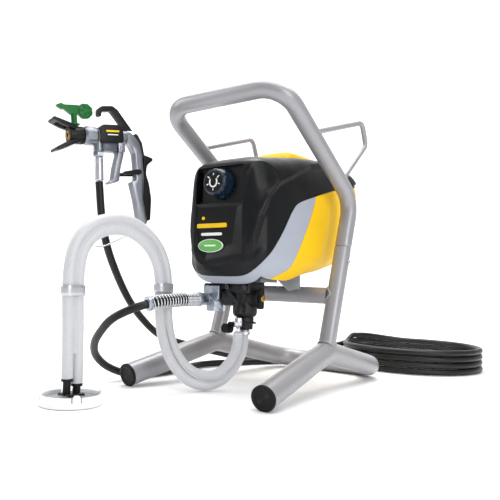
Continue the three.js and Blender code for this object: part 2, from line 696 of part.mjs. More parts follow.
function addSuctionSet() {
  const suction = [...besidePair(-1), ...SUCTION_END];
  const back = [...besidePair(1), ...RETURN_END];
  suction[0][2] -= 8;
  piece("suction_tube", sweep(smoothPath(suction), TUBE_RADIUS, 10, 40), clearTube);
  piece("return_tube", sweep(smoothPath(back), TUBE_RADIUS, 10, 40), clearTube);

  const [x, y] = STRAINER;
  let ring = turned(
    [[36, 0.3], [39.3, 0.3], [39.8, 2], [39.8, 13], [38.4, 14.2], [37, 14.2], [36, 13], [36, 0.3]],
    [x, y, 0],
    [0, 0, 1],
    40,
  );
  for (const angle of [63, 153, 243, 333]) {
    const tab = block(35.4, 39, -4.5, 4.5, 1, 17.4).rotate([0, 0, angle]);
    ring = ring.add(tab.translate([x, y, 0]));
  }
  piece("strainer_ring", ring, whitePlastic);
  const screen = turned(
    [[0, 7], [35, 7], [35, 9], [24, 9.4], [12, 11], [0, 11]],
    [x, y, 0],
    [0, 0, 1],
    32,
  );
  const elbows = [suction[0], back[0]].map(([px, py, pz]) =>
    bar([px, py, 9], [px, py, pz - 1], 5.4, 14),
  );
  piece("strainer_screen", join(screen, block(x - 14, x + 14, y - 12, y + 12, 9, 14), ...elbows), darkSteel);

  // Clips that hold the two tubes side by side.
  addTubeClip("strainer_tube_clip", 2);
  addTubeClip("pump_tube_clip", 13);
  const collar = [[TUBE_RADIUS + 0.9, 0], [TUBE_RADIUS + 1.8, 0], [TUBE_RADIUS + 1.8, 6],
    [TUBE_RADIUS + 0.9, 6], [TUBE_RADIUS + 0.9, 0]];
  piece("suction_hose_clamp", turned(collar, [14, -84.2, 85.5], [0, 0, 1], 20), chrome);
}

// A flat band round both tubes at one route point.
function addTubeClip(name, index) {
  const half = PAIR_SPACING / 2;
  const oval = (radius, height) =>
    join(
      block(-radius, radius, -half, half, -height, height),
      bar([0, -half, -height], [0, -half, height], radius, 20),
      bar([0, half, -height], [0, half, height], radius, 20),
    );
  const band = oval(TUBE_RADIUS + 1.7, 5).subtract(oval(TUBE_RADIUS + 0.8, 9));
  piece(name, band.translate(PAIR_ROUTE[index]), chrome);
}

// ---------- high-pressure hose ----------

const PUMP_SIDE_ROUTE = [
  [-38, -131.2, 137], [-42, -178, 135], [-49, -222, 130.4], [-63, -244, 122], [-91, -255, 107],
  [-122, -250, 86], [-149, -238, 66], [-168, -219, 46], [-175, -193, 27], [-173, -160, 13],
  [-168, -120, 6.5], [-167, -70, 6.3], [-175, -10, 6.3], [-187, 40, 6.3], [-184, 75, 6.3],
  [-174, 105, 6.3], [-160, 135, 6.3], [-145, 167, 6.3], [-126, 206, 6.3], [-97, 240, 6.3],
  [-50, 265, 6.3], [8, 281, 6.3], [60, 287, 6.3],
];
const GUN_SIDE_ROUTE = [
  [-53, 424, 42.5], [-55, 395, 41], [-63, 363, 35], [-78, 328, 27], [-100, 295, 18],
  [-126, 262, 11.5], [-148, 228, 7.5], [-163, 198, 6.5], [-171, 165, 8], [-175, 128, 18],
  [-177, 90, 26.5], [-180, 50, 35.5], [-181, 0, 48], [-179, -45, 59], [-176, -80, 71], [-171, -125, 100],
  [-165, -162, 133], [-161, -192, 172], [-162, -212, 212], [-165, -223, 256],
  [-168.2, -229.5, 312.9],
];

function pumpSideHose(radius) {
  return sweep(smoothPath(PUMP_SIDE_ROUTE), radius, 10, 44);
}

function coilRing(margin) {
  const inner = COIL_RADIUS - HOSE_RADIUS - margin;
  const outer = COIL_RADIUS + HOSE_RADIUS + margin;
  const top = COIL_HEIGHT + margin;
  return turned(
    [[inner, GAP], [outer, GAP], [outer, top - 4], [outer - 3, top], [inner + 3, top],
      [inner, top - 4], [inner, GAP]],
    [...COIL_CENTRE, 0],
    [0, 0, 1],
    44,
  );
}

function addHose() {
  const keepOut = coilRing(GAP).add(belowFloor());
  piece("hose_pump_side", pumpSideHose(HOSE_RADIUS).subtract(keepOut), blackRubber);
  piece("hose_coil", coilRing(0), blackRubber);
  const second = sweep(smoothPath(GUN_SIDE_ROUTE), HOSE_RADIUS, 10, 36);
  piece("hose_gun_side", second.subtract(keepOut), blackRubber);
}

// ---------- spray gun: +X is the spray direction, origin at the top of the hose fitting ----------

// Tilts a solid of the barrel group nose down about the barrel's root.
function onBarrel(shape) {
  const [x, y, z] = BARREL_ROOT;
  return shape.translate([-x, -y, -z]).rotate([0, BARREL_PITCH, 0]).translate([x, y, z]);
}

function addGunBody() {
  const arch = plate(
    [
      [-36.3, 45], [-50, 44.5], [-60, 37], [-67, 26], [-70.5, 9], [-71.6, -30], [-69.5, -64],
      [-76, -98], [-74, -104], [-62, -100], [-55, -64], [-49.5, -37], [-58, -33], [-58, -14],
      [-56, 10], [-51, 22], [-44, 28], [-36.3, 28],
    ],
    20,
  );
  const stock = cut(
    join(
      arch,
      onBarrel(bar([-45, 0, BARREL_Z], [2.4, 0, BARREL_Z], 12, 18)),
      bar([0, 0, 8.3], [0, 0, 30], 8, 14),
      block(-26, -4, -8.5, 8.5, 10, 26),
      block(-39, -28, 9.6, 11.8, 9, 30),
      block(-39, -28, -11.8, -9.6, 9, 30),
    ),
    bar([-62, -20, -20], [-62, 20, -20], 2.6, 12),
    bar([-33, -20, 14], [-33, 20, 14], 2.2, 12),
    onBarrel(bar([2.4, 0, BARREL_Z], [26, 0, BARREL_Z], 15.2, 18)),
  );
  const nose = onBarrel(bar([0, 0, BARREL_Z], [20, 0, BARREL_Z], 8, 16));
  piece("gun_casting", stock.add(nose), castAlloy, gun);

  const hook = [
    [-30, 51], [-30, 46.5], [-36, 45.6], [-50, 45.2], [-54, 47], [-30, 77], [-22, 82], [-4, 79.5],
    [2.5, 74], [2.5, 64], [-3, 62.5], [-4, 71], [-19, 73.5], [-34, 55], [-30, 53],
  ];
  const cover = cut(
    join(onBarrel(block(-36, 1, -15, 15, 24, 51)), plate(hook, 10)),
    onBarrel(bar([-60, 0, BARREL_Z], [20, 0, BARREL_Z], 12 + GAP, 18)),
    bar([0, 0, 0], [0, 0, 30], 8 + GAP, 14),
    block(-26 - GAP, -4 + GAP, -8.5 - GAP, 8.5 + GAP, 0, 27),
    block(-39 - GAP, -28 + GAP, -11.8 - GAP, 11.8 + GAP, 0, 31),
  );
  piece("gun_cover", cover, charcoal, gun);

  const grip = plate(
    [
      [-71, 9], [-87, 4], [-87, 0], [-77, -8], [-75, -22], [-80, -38], [-83.5, -62], [-81, -96],
      [-76.9, -98], [-70, -64], [-72.1, -30],
    ],
    19,
  );
  piece("gun_grip_cover", grip, blackRubber, gun);

  const wire = [
    [-73, 0, -105.8], [-60, 0, -114], [-34, 0, -126], [-19, 3, -132], [-12, 9, -135],
    [-3, 11, -138], [6, 7, -139], [9, 0, -139], [6, -7, -139], [-3, -10.5, -138],
  ];
  piece("hose_holder", sweep(smoothPath(wire), 1.3, 8, 30), chrome, gun);
}

function addGunMovingParts() {
  const lever = cut(
    plate(
      [
        [-30, 19], [-38, 17], [-37.5, 6], [-31, -20], [-29.5, -36], [-24, -39], [-14, -42],
        [-12.5, -38.5], [-20, -34.5], [-23, -15], [-28.5, 6],
      ],
      18,
    ),
    bar([-33, -20, 14], [-33, 20, 14], 2.1, 12),
  );
  piece("gun_trigger", lever, castAlloy, gun);
  piece("trigger_pin", bar([-33, -12, 14], [-33, 12, 14], 1.8, 12), zinc, gun);

  const prong = [[-66, -23], [-60, -24.5], [-37, -26], [-34.5, -23], [-37, -21], [-60, -16], [-66, -17]];
  const lock = join(
    plate(prong, 2.2, 11.5),
    plate(prong, 2.2, -11.5),
    bar([-62, -11.5, -20], [-62, 11.5, -20], 2.2, 12),
  );
  piece("trigger_lock", lock, blackRubber, gun);

  const profile = [[8.6, 0], [13, 0], [14.7, 2], [14.7, 17], [13.2, 21], [8.6, 21], [8.6, 0]];
  const nut = turned(profile, [2.9, 0, BARREL_Z], [1, 0, 0], 24);
  piece("retaining_nut", onBarrel(nut), castAlloy, gun);

  const stemX = 35.5;
  const wing = (up) =>
    plate(
      [
        [40, BARREL_Z + up * 7], [56, BARREL_Z + up * 13], [71, BARREL_Z + up * 21],
        [70, BARREL_Z + up * 25], [54, BARREL_Z + up * 19], [38, BARREL_Z + up * 12],
      ],
      28,
    );
  const hub = cut(
    join(bar([24.4, 0, BARREL_Z], [47, 0, BARREL_Z], 13.6, 20), wing(1), wing(-1)),
    bar([stemX, 0, BARREL_Z - 9.6], [stemX, 0, BARREL_Z + 30], 6, 16),
    bar([stemX, 0, BARREL_Z], [60, 0, BARREL_Z], 4, 12),
    bar([54, 0, BARREL_Z + 5], [62, 0, BARREL_Z + 35], 3.6, 4),
  );
  piece("tip_guard", onBarrel(hub), charcoal, gun);

  const arrow = plate(
    [
      [62, 79.5], [54, 83], [50, 80.5], [29, 81], [22, 78], [22, 67], [40, 66], [50, 74], [54, 73.5],
    ],
    7,
  );
  const tip = join(
    bar([stemX, 0, BARREL_Z - 9], [stemX, 0, 50], 5.6, 16),
    bar([stemX, 0, 49], [stemX, 0, 68], 4.6, 12),
    bar([stemX, 0, 50.4], [stemX, 0, 52.6], 8, 16),
    arrow,
    bar([18, -5, 72.5], [18, 5, 72.5], 11.8, 14),
  );
  piece("spray_tip", onBarrel(tip), greenPlastic, gun);

  piece("gun_swivel_nut", bar([0, 0, 0.3], [0, 0, 8], 8.6, 6), zinc, gun);
  const ferrule = bar([0, 0, -37], [0, 0, 0], 6.9, 16);
  piece("hose_ferrule", ferrule, chrome, gun);
}

// ---------- assembly ----------

addFoot();
addHandleBow();
addCrossbar();
addMountBracket();
for (const side of [1, -1]) {
  addLeg(side);
  addHoseHook(side);
}
addHousing();
addRearFittings();
addPressureKnob();
addDrive();
addPump();
addOutlet();
addSuctionSet();
addHose();
addGunBody();
addGunMovingParts();
gun.position.set(...GUN_PLACE);
gun.rotation.order = "ZYX";
gun.rotation.z = THREE.MathUtils.degToRad(GUN_HEADING);
gun.rotation.y = THREE.MathUtils.degToRad(GUN_PITCH);
sprayer.add(gun);

// The origin lies on the floor, under the middle of everything but the hoses.
function centreOnFloor() {
  const free = ["suction_tube", "return_tube", "hose_pump_side", "hose_coil", "hose_gun_side"];
  const bounds = new THREE.Box3();
  sprayer.updateMatrixWorld(true);
  sprayer.traverse((node) => {
    if (node.isMesh && !free.includes(node.name)) {
      bounds.expandByObject(node, true);
    }
  });
  const middle = bounds.getCenter(new THREE.Vector3());
  sprayer.position.set(-middle.x, -middle.y, 0);
}
centreOnFloor();

export default sprayer;
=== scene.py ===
import json
import math

import bmesh
import bpy
import numpy as np
from mathutils import Matrix, Vector

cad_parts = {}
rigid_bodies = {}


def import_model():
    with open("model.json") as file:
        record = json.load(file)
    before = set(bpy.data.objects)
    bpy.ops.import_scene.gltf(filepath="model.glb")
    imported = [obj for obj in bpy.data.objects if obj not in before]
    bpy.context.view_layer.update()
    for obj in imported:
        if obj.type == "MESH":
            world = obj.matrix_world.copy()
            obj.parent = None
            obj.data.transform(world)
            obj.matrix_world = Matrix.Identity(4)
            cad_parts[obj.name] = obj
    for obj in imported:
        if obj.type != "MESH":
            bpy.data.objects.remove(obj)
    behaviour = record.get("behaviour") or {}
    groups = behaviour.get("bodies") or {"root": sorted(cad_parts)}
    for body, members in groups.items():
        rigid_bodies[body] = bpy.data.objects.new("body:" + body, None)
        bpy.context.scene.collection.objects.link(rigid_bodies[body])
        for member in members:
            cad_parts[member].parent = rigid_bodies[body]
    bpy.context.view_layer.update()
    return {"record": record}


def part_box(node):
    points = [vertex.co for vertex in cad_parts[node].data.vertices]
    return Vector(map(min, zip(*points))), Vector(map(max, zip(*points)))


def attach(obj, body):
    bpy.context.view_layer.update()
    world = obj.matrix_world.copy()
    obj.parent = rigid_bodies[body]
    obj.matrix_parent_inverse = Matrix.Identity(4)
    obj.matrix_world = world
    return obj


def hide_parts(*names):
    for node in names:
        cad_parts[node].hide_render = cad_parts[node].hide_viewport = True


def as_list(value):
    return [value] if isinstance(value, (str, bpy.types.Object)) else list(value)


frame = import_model()

CROSSBAR_Y = 25.696
BAR_LOW, BAR_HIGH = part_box("crossbar")
SHIFT = np.array([(BAR_LOW.x + BAR_HIGH.x) * 500, (BAR_LOW.y + BAR_HIGH.y) * 500 - CROSSBAR_Y, 0.0])
BODY_OF = {n: body for body, names in frame["record"]["behaviour"]["bodies"].items() for n in names}
SLOT_OF = {s["node"]: s["material_slot"] for s in frame["record"]["subparts"]}

GUN_PLACE = np.array([-169.0, -232.0, 351.0])
GUN_HEADING = math.radians(251.5)
GUN_PITCH = math.radians(4)
BARREL_Z = 35
BARREL_PITCH = math.radians(4)
BARREL_ROOT = np.array([-36.0, 0.0, 24.0])
GUN_TURN = np.array(Matrix.Rotation(GUN_HEADING, 3, "Z") @ Matrix.Rotation(GUN_PITCH, 3, "Y"))


def at(point):
    """Millimetres in the machine's axes to metres in the frame."""
    return Vector((np.asarray(point, float) + SHIFT) * 0.001)


# ---------- camera ----------

CAMERA_PLACE = (553.74, -805.61, 159.15)
CAMERA_TURN = (36.5, -3.58, 2.01)
CAMERA_LENS = 41.78


def add_camera():
    yaw, pitch, roll = (math.radians(angle) for angle in CAMERA_TURN)
    ahead = Vector((-math.sin(yaw) * math.cos(pitch), math.cos(yaw) * math.cos(pitch), -math.sin(pitch)))
    right = Vector((math.cos(yaw), math.sin(yaw), 0))
    up = right.cross(ahead)
    turned_right = math.cos(roll) * right + math.sin(roll) * up
    turned_up = -math.sin(roll) * right + math.cos(roll) * up
    data = bpy.data.cameras.new("camera")
    data.sensor_width = 36
    data.lens = CAMERA_LENS
    data.clip_start = 0.05
    camera = bpy.data.objects.new("camera", data)
    matrix = Matrix((turned_right, turned_up, -ahead)).transposed().to_4x4()
    matrix.translation = at(CAMERA_PLACE)
    camera.matrix_world = matrix
    bpy.context.scene.collection.objects.link(camera)
    bpy.context.scene.camera = camera


add_camera()


# ---------- materials ----------

def linear(text):
    """A hexadecimal colour in linear light."""
    channels = [int(text[i:i + 2], 16) / 255 for i in (0, 2, 4)]
    return tuple(c / 12.92 if c <= 0.04045 else ((c + 0.055) / 1.055) ** 2.4 for c in channels)


def shade(color, factor):
    return tuple(min(1.0, c * factor) for c in color) + (1.0,)


class Tree:
    """A short way to write a node tree."""

    def __init__(self, material):
        self.tree = material.node_tree
        self.coords = self.add("ShaderNodeTexCoord").outputs["Object"]

    def add(self, kind, inputs=None, **settings):
        node = self.tree.nodes.new(kind)
        for key, value in settings.items():
            setattr(node, key, value)
        for key, value in (inputs or {}).items():
            if isinstance(value, bpy.types.NodeSocket):
                self.tree.links.new(value, node.inputs[key])
            else:
                node.inputs[key].default_value = value
        return node

    def noise(self, size, detail=3.0, rough=0.5, coords=None):
        node = self.add("ShaderNodeTexNoise", {
            "Vector": coords or self.coords, "Scale": 1 / size, "Detail": detail, "Roughness": rough,
        })
        return node.outputs["Fac"]

    def remap(self, value, low, high, to_low, to_high):
        node = self.add("ShaderNodeMapRange", {
            "Value": value, "From Min": low, "From Max": high, "To Min": to_low, "To Max": to_high,
        })
        return node.outputs["Result"]

    def mix(self, factor, a, b, blend="MIX"):
        node = self.add("ShaderNodeMix", {"Factor": factor}, data_type="RGBA", blend_type=blend)
        for socket, value in ((node.inputs[6], a), (node.inputs[7], b)):
            if isinstance(value, bpy.types.NodeSocket):
                self.tree.links.new(value, socket)
            else:
                socket.default_value = value
        return node.outputs[2]


def finish_material(name, color, rough, metallic=0.0, vary=0.07, patch=0.05, grain=0.0005,
                    bump=0.04, spread=0.08, edge=0.0, coat=0.0, transmission=0.0, ior=1.5,
                    flake=0.0, stretch=None):
    material = bpy.data.materials.new(name)
    material.use_nodes = True
    t = Tree(material)
    bsdf = t.tree.nodes["Principled BSDF"]
    coords = t.coords
    if stretch:
        coords = t.add("ShaderNodeMapping", {"Vector": t.coords, "Scale": stretch}).outputs[0]
    broad = t.noise(patch, 4.0, 0.6)
    fine = t.noise(grain, 2.0, 0.6, coords)
    tone = t.mix(t.remap(broad, 0.3, 0.7, 0, 1), shade(color, 1 - vary), shade(color, 1 + vary))
    if flake:
        speck = t.remap(t.noise(0.0011, 1.0, 0.5), 0.55, 0.75, 0, flake)
        tone = t.mix(speck, tone, shade(color, 1.7))
    if edge:
        point = t.add("ShaderNodeNewGeometry").outputs["Pointiness"]
        worn = t.remap(point, 0.52, 0.6, 0, edge)
        tone = t.mix(worn, tone, shade(tuple(c * 1.5 + 0.03 for c in color), 1))
    t.tree.links.new(tone, bsdf.inputs["Base Color"])
    smear = t.noise(patch * 0.4, 5.0, 0.65)
    t.tree.links.new(t.remap(smear, 0.3, 0.7, rough - spread / 2, rough + spread),
                     bsdf.inputs["Roughness"])
    relief = t.add("ShaderNodeBump", {"Height": fine, "Strength": bump * 10, "Distance": 0.00012})
    t.tree.links.new(relief.outputs["Normal"], bsdf.inputs["Normal"])
    bsdf.inputs["Metallic"].default_value = metallic
    bsdf.inputs["IOR"].default_value = ior
    if coat:
        bsdf.inputs["Coat Weight"].default_value = coat
        bsdf.inputs["Coat Roughness"].default_value = 0.15
    if transmission:
        bsdf.inputs["Transmission Weight"].default_value = transmission
    return material


def tube_plastic():
    """Milky hose plastic with a fine woven braid inside its wall."""
    material = finish_material("milky_tube", linear("d9dadd"), 0.3, vary=0.03, patch=0.03,
                               grain=0.0012, bump=0.004, spread=0.04, transmission=0.22, ior=1.4)
    t = Tree(material)
    bsdf = material.node_tree.nodes["Principled BSDF"]
    bsdf.inputs["Subsurface Weight"].default_value = 0.25
    bsdf.inputs["Subsurface Radius"].default_value = (0.004, 0.004, 0.004)
    braid = t.add("ShaderNodeTexVoronoi", {"Vector": t.coords, "Scale": 620.0})
    tone = t.mix(t.remap(braid.outputs["Distance"], 0.1, 0.6, 0.0, 0.5),
                 linear("cfd0d4") + (1.0,), linear("e6e7ea") + (1.0,))
    t.tree.links.new(tone, bsdf.inputs["Base Color"])
    return material


def woven_screen():
    """Woven steel wire: crossed waves for its bump and its colour."""
    material = finish_material("woven_wire", linear("8c8f92"), 0.38, metallic=0.9, vary=0.1)
    t = Tree(material)
    bsdf = material.node_tree.nodes["Principled BSDF"]
    waves = [
        t.add("ShaderNodeTexWave", {"Vector": t.coords, "Scale": 160.0, "Distortion": 0.0},
              bands_direction=axis).outputs["Fac"]
        for axis in ("X", "Y")
    ]
    weave = t.add("ShaderNodeMath", {0: waves[0], 1: waves[1]}, operation="MAXIMUM").outputs[0]
    tone = t.mix(t.remap(weave, 0.35, 0.8, 0, 1), linear("2b2d2f") + (1.0,), linear("b3b6ba") + (1.0,))
    t.tree.links.new(tone, bsdf.inputs["Base Color"])
    relief = t.add("ShaderNodeBump", {"Height": weave, "Strength": 0.8, "Distance": 0.0006})
    t.tree.links.new(relief.outputs["Normal"], bsdf.inputs["Normal"])
    return material


# look, name of its material, colour, roughness, the rest
LOOK_TABLE = [
    ("silver_paint", "silver_powder_coat", "98979b", 0.36, dict(metallic=0.3, vary=0.04, patch=0.09,
        grain=0.0009, bump=0.02, edge=0.15, coat=0.2, flake=0.2)),
    ("black_rubber", "black_rubber", "101112", 0.5, dict(vary=0.2, patch=0.03, grain=0.0006, bump=0.02,
        edge=0.3, ior=1.28)),
    ("charcoal_plastic", "charcoal_plastic", "111214", 0.34, dict(vary=0.1, patch=0.06, grain=0.0007,
        bump=0.03, edge=0.3, ior=1.3)),
    ("grey_plastic", "light_grey_plastic", "a2a8b3", 0.38, dict(vary=0.04, patch=0.07, grain=0.0007,
        bump=0.05, edge=0.2)),
    ("yellow_plastic", "yellow_plastic", "f2c200", 0.4, dict(vary=0.04, patch=0.08, grain=0.0008,
        bump=0.015, edge=0.1, ior=1.35)),
    # this look is the dial face's own black, and painted shade on the recessed floor of the front panel
    ("black_dial_and_painted_shade", "black_dial_and_painted_shade", "0b0b0c", 0.5, dict(vary=0.1, patch=0.05, grain=0.0006, bump=0.01,
        ior=1.3)),
    ("navy_plastic", "navy_plastic", "12202f", 0.24, dict(vary=0.15, patch=0.02, grain=0.0006,
        bump=0.02, edge=0.25, coat=0.1, ior=1.4)),
    ("white_plastic", "white_plastic", "eceded", 0.35, dict(vary=0.03, patch=0.03, grain=0.0007,
        bump=0.04)),
    ("green_plastic", "green_plastic", "046422", 0.3, dict(vary=0.08, patch=0.02, grain=0.0006,
        bump=0.02, edge=0.2, ior=1.33)),
    ("slate_plastic", "slate_plastic", "4b505a", 0.32, dict(vary=0.08, patch=0.03, grain=0.0007,
        bump=0.02, edge=0.3)),
    ("satin_nickel", "satin_nickel", "c6c8cc", 0.3, dict(metallic=0.7, vary=0.04, patch=0.02,
        grain=0.0009, bump=0.004, spread=0.06, edge=0.2)),
    ("oval_green", "oval_green", "5fb04f", 0.3, dict(vary=0.06, patch=0.01, grain=0.0006, bump=0.01)),
    ("zinc_plate", "zinc_plating", "a9b0ba", 0.28, dict(metallic=1.0, vary=0.1, patch=0.012,
        grain=0.0008, bump=0.012, spread=0.12, edge=0.3)),
    ("polished_chrome", "polished_chrome", "c9cbce", 0.14, dict(metallic=1.0, vary=0.05, patch=0.015,
        grain=0.0009, bump=0.006, spread=0.05)),
    ("brass", "brass", "c79a4b", 0.24, dict(metallic=1.0, vary=0.1, patch=0.006, bump=0.03)),
    ("cast_alloy", "satin_alloy", "85888f", 0.3, dict(metallic=0.85, vary=0.06, patch=0.04,
        grain=0.0012, bump=0.002, spread=0.04, edge=0.3)),
    ("dark_steel", "oiled_steel", "606266", 0.32, dict(metallic=0.95, vary=0.15, patch=0.02,
        grain=0.0006, bump=0.05, stretch=(1, 8, 1))),
    ("copper_winding", "varnished_copper", "b36a38", 0.3, dict(metallic=0.9, vary=0.2, patch=0.01,
        grain=0.0006, bump=0.2, stretch=(6, 1, 6))),
    ("board_green", "circuit_lacquer", "1f5f38", 0.35, dict(vary=0.25, patch=0.008, grain=0.0015,
        bump=0.2)),
    ("painted_casting", "black_painted_casting", "131416", 0.42, dict(vary=0.2, patch=0.02,
        grain=0.0011, bump=0.05, edge=0.4, ior=1.4)),
    ("grey_paint", "grey_paint", "9b9da1", 0.4, dict(metallic=0.25, vary=0.06, patch=0.05, grain=0.0009,
        bump=0.05, edge=0.2)),
    ("hose_cover", "hose_cover", "121314", 0.38, dict(vary=0.18, patch=0.05, grain=0.0009, bump=0.03,
        ior=1.4)),
]
LOOKS = {look: finish_material(name, linear(color), rough, **rest)
         for look, name, color, rough, rest in LOOK_TABLE}
LOOKS["clear_tube"] = tube_plastic()
LOOKS["woven"] = woven_screen()


# ---------- shapes: (vertices in mm, faces) ----------

def lengths_along(points):
    """How far along its line each point lies."""
    return np.concatenate([[0], np.cumsum(np.linalg.norm(np.diff(points, axis=0), axis=1))])


def points_at(points, lengths, wanted):
    return np.stack([np.interp(wanted, lengths, points[:, k]) for k in range(3)], axis=-1)


def resample(points, step):
    points = np.asarray(points, float)
    lengths = lengths_along(points)
    count = max(2, int(round(lengths[-1] / step)) + 1)
    return points_at(points, lengths, np.linspace(0, lengths[-1], count))


def hermite(t, a, b, slope_a, slope_b, run=1.0):
    """The cubic from a to b with the given slopes at its ends; run is the length of the step."""
    return ((2 * t**3 - 3 * t**2 + 1) * a + (t**3 - 2 * t**2 + t) * run * slope_a
            + (-2 * t**3 + 3 * t**2) * b + (t**3 - t**2) * run * slope_b)


def ease(x):
    x = np.clip(x, 0, 1)
    return x * x * (3 - 2 * x)


def turn_by(degrees, axis):
    return np.array(Matrix.Rotation(math.radians(degrees), 3, axis))


def spline(points, step=3.0):
    """A centripetal Catmull-Rom line through the points."""
    points = np.asarray(points, float)
    padded = np.vstack([2 * points[0] - points[1], points, 2 * points[-1] - points[-2]])
    line = []
    for i in range(len(points) - 1):
        p0, p1, p2, p3 = padded[i:i + 4]
        d0, d1, d2 = (math.sqrt(np.linalg.norm(b - a)) for a, b in ((p0, p1), (p1, p2), (p2, p3)))
        m1 = ((p1 - p0) / d0 - (p2 - p0) / (d0 + d1) + (p2 - p1) / d1) * d1
        m2 = ((p2 - p1) / d1 - (p3 - p1) / (d1 + d2) + (p3 - p2) / d2) * d1
        line.extend(hermite(t, p1, p2, m1, m2) for t in np.linspace(0, 1, 32, endpoint=False))
    line.append(points[-1])
    return resample(line, step)


def bent(points, radius, step=3.0):
    """Straight runs joined by arcs."""
    points = [np.asarray(p, float) for p in points]
    line = [points[0]]
    for before, corner, after in zip(points, points[1:], points[2:]):
        a = (before - corner) / np.linalg.norm(before - corner)
        b = (after - corner) / np.linalg.norm(after - corner)
        half = math.acos(float(np.clip(a @ b, -1, 1))) / 2
        reach = radius / math.tan(half)
        middle = corner + (a + b) / np.linalg.norm(a + b) * radius / math.sin(half)
        start, end = corner + a * reach - middle, corner + b * reach - middle
        sweep = math.pi - 2 * half
        for t in np.linspace(0, 1, 17):
            line.append(middle + (math.sin((1 - t) * sweep) * start + math.sin(t * sweep) * end)
                        / math.sin(sweep))
    line.append(points[-1])
    return resample(line, step)


def frames_along(points):
    """The tangent and two crossing directions at each point, without twist."""
    tangents = np.gradient(points, axis=0)
    tangents /= np.linalg.norm(tangents, axis=1)[:, None]
    side = np.cross(tangents[0], [0.0, 0.0, 1.0])
    if np.linalg.norm(side) < 1e-3:
        side = np.cross(tangents[0], [0.0, 1.0, 0.0])
    sides = []
    for tangent in tangents:
        side = side - tangent * (side @ tangent)
        side = side / np.linalg.norm(side)
        sides.append(side)
    sides = np.array(sides)
    return tangents, sides, np.cross(tangents, sides)


def skin(rings, close_ends=True, loop=False):
    """Quads between equal rings of points."""
    count = len(rings[0])
    vertices = np.vstack(rings)
    faces = []
    last = len(rings) if loop else len(rings) - 1
    for i in range(last):
        j = (i + 1) % len(rings)
        for k in range(count):
            m = (k + 1) % count
            faces.append((i * count + k, i * count + m, j * count + m, j * count + k))
    if close_ends and not loop:
        faces.append(tuple(range(count - 1, -1, -1)))
        base = (len(rings) - 1) * count
        faces.append(tuple(range(base, base + count)))
    return vertices, faces


def tube(points, radius, sides=24, inner=None):
    """A round bar along a line, or a pipe where inner is the radius of its bore."""
    points = np.asarray(points, float)
    _, side, up = frames_along(points)
    radii = np.broadcast_to(np.asarray(radius, float), (len(points),))
    angles = np.linspace(0, 2 * math.pi, sides, endpoint=False)
    circle = np.cos(angles)[:, None, None] * side + np.sin(angles)[:, None, None] * up
    rings = [points[i] + circle[:, i] * radii[i] for i in range(len(points))]
    if inner is None:
        return skin(rings)
    holes = [points[i] + circle[:, i] * inner for i in range(len(points))]
    return skin(rings + holes[::-1], loop=True)


def smooth_end(points, radius, round_by):
    """Radii that fall away in a quarter circle at both ends of a line."""
    lengths = lengths_along(points)
    drop = np.clip(1 - np.minimum(lengths, lengths[-1] - lengths) / round_by, 0, 1)
    return radius - round_by * (1 - np.sqrt(np.clip(1 - drop**2, 0, 1)))


def axes_for(direction):
    axis = np.asarray(direction, float) / np.linalg.norm(direction)
    side = np.cross(axis, [0.0, 0.0, 1.0] if abs(axis[2]) < 0.9 else [1.0, 0.0, 0.0])
    side /= np.linalg.norm(side)
    return axis, side, np.cross(axis, side)


def rounded(profile, radius, closed=False, steps=4):
    """Rounds each inner corner of a profile of (r, h) points."""
    points = [np.asarray(p, float) for p in profile]
    count = len(points)
    out = []
    for i in range(count):
        if not closed and i in (0, count - 1):
            out.append(points[i])
            continue
        before, corner, after = points[i - 1], points[i], points[(i + 1) % count]
        a, b = before - corner, after - corner
        reach = min(radius, np.linalg.norm(a) * 0.45, np.linalg.norm(b) * 0.45)
        a, b = corner + a / np.linalg.norm(a) * reach, corner + b / np.linalg.norm(b) * reach
        for t in np.linspace(0, 1, steps + 1):
            out.append((1 - t) ** 2 * a + 2 * t * (1 - t) * corner + t**2 * b)
    return out


def lathe(profile, origin, direction, sides=48, closed=False, ripple=None):
    """A profile of (r, h) points turned about an axis; ripple(angle, r, h) scales the radius."""
    axis, side, up = axes_for(direction)
    origin = np.asarray(origin, float)
    rings = []
    angles = np.linspace(0, 2 * math.pi, sides, endpoint=False)
    for r, h in profile:
        radii = np.full(sides, max(r, 0.01))
        if ripple:
            radii = radii * np.array([ripple(a, r, h) for a in angles])
        rings.append(origin + axis * h + radii[:, None] * (np.cos(angles)[:, None] * side
                                                         + np.sin(angles)[:, None] * up))
    return skin(rings, close_ends=not closed, loop=closed)


def turned(profile, radius, origin, direction, sides=48, closed=False, ripple=None, steps=4):
    """A lathed shape whose profile has rounded corners."""
    return lathe(rounded(profile, radius, closed, steps), origin, direction, sides, closed, ripple)


def bar_shape(a, b, radius, round_by=0.8, sides=32):
    """A turned bar from a to b with rounded rims."""
    a, b = np.asarray(a, float), np.asarray(b, float)
    length = float(np.linalg.norm(b - a))
    return turned([(0, 0), (radius, 0), (radius, length), (0, length)], round_by, a, b - a, sides)


def hexagon(a, b, across, round_by=0.9):
    """A six-sided nut body whose corners are turned down at both ends."""
    a, b = np.asarray(a, float), np.asarray(b, float)
    length = float(np.linalg.norm(b - a))
    rings = []
    axis, side, up = axes_for(b - a)
    angles = np.linspace(0, 2 * math.pi, 48, endpoint=False)
    flats = across / np.cos((angles + math.pi / 6) % (math.pi / 3) - math.pi / 6)
    for size, h in ((0, 0), (0.9, 0), (1.0, round_by), (1.0, length - round_by), (0.9, length), (0, length)):
        radii = np.minimum(flats, across * 1.12 if 0 < size < 1 else across * 1.155) * max(size, 0.001)
        rings.append(a + axis * h + radii[:, None] * (np.cos(angles)[:, None] * side
                                                     + np.sin(angles)[:, None] * up))
    return skin(rings)


def outline_of(points, radius, steps=5):
    return rounded(points, radius, closed=True, steps=steps)


def rectangle(u0, u1, v0, v1, radius, steps=4):
    return outline_of([(u0, v0), (u1, v0), (u1, v1), (u0, v1)], radius, steps)


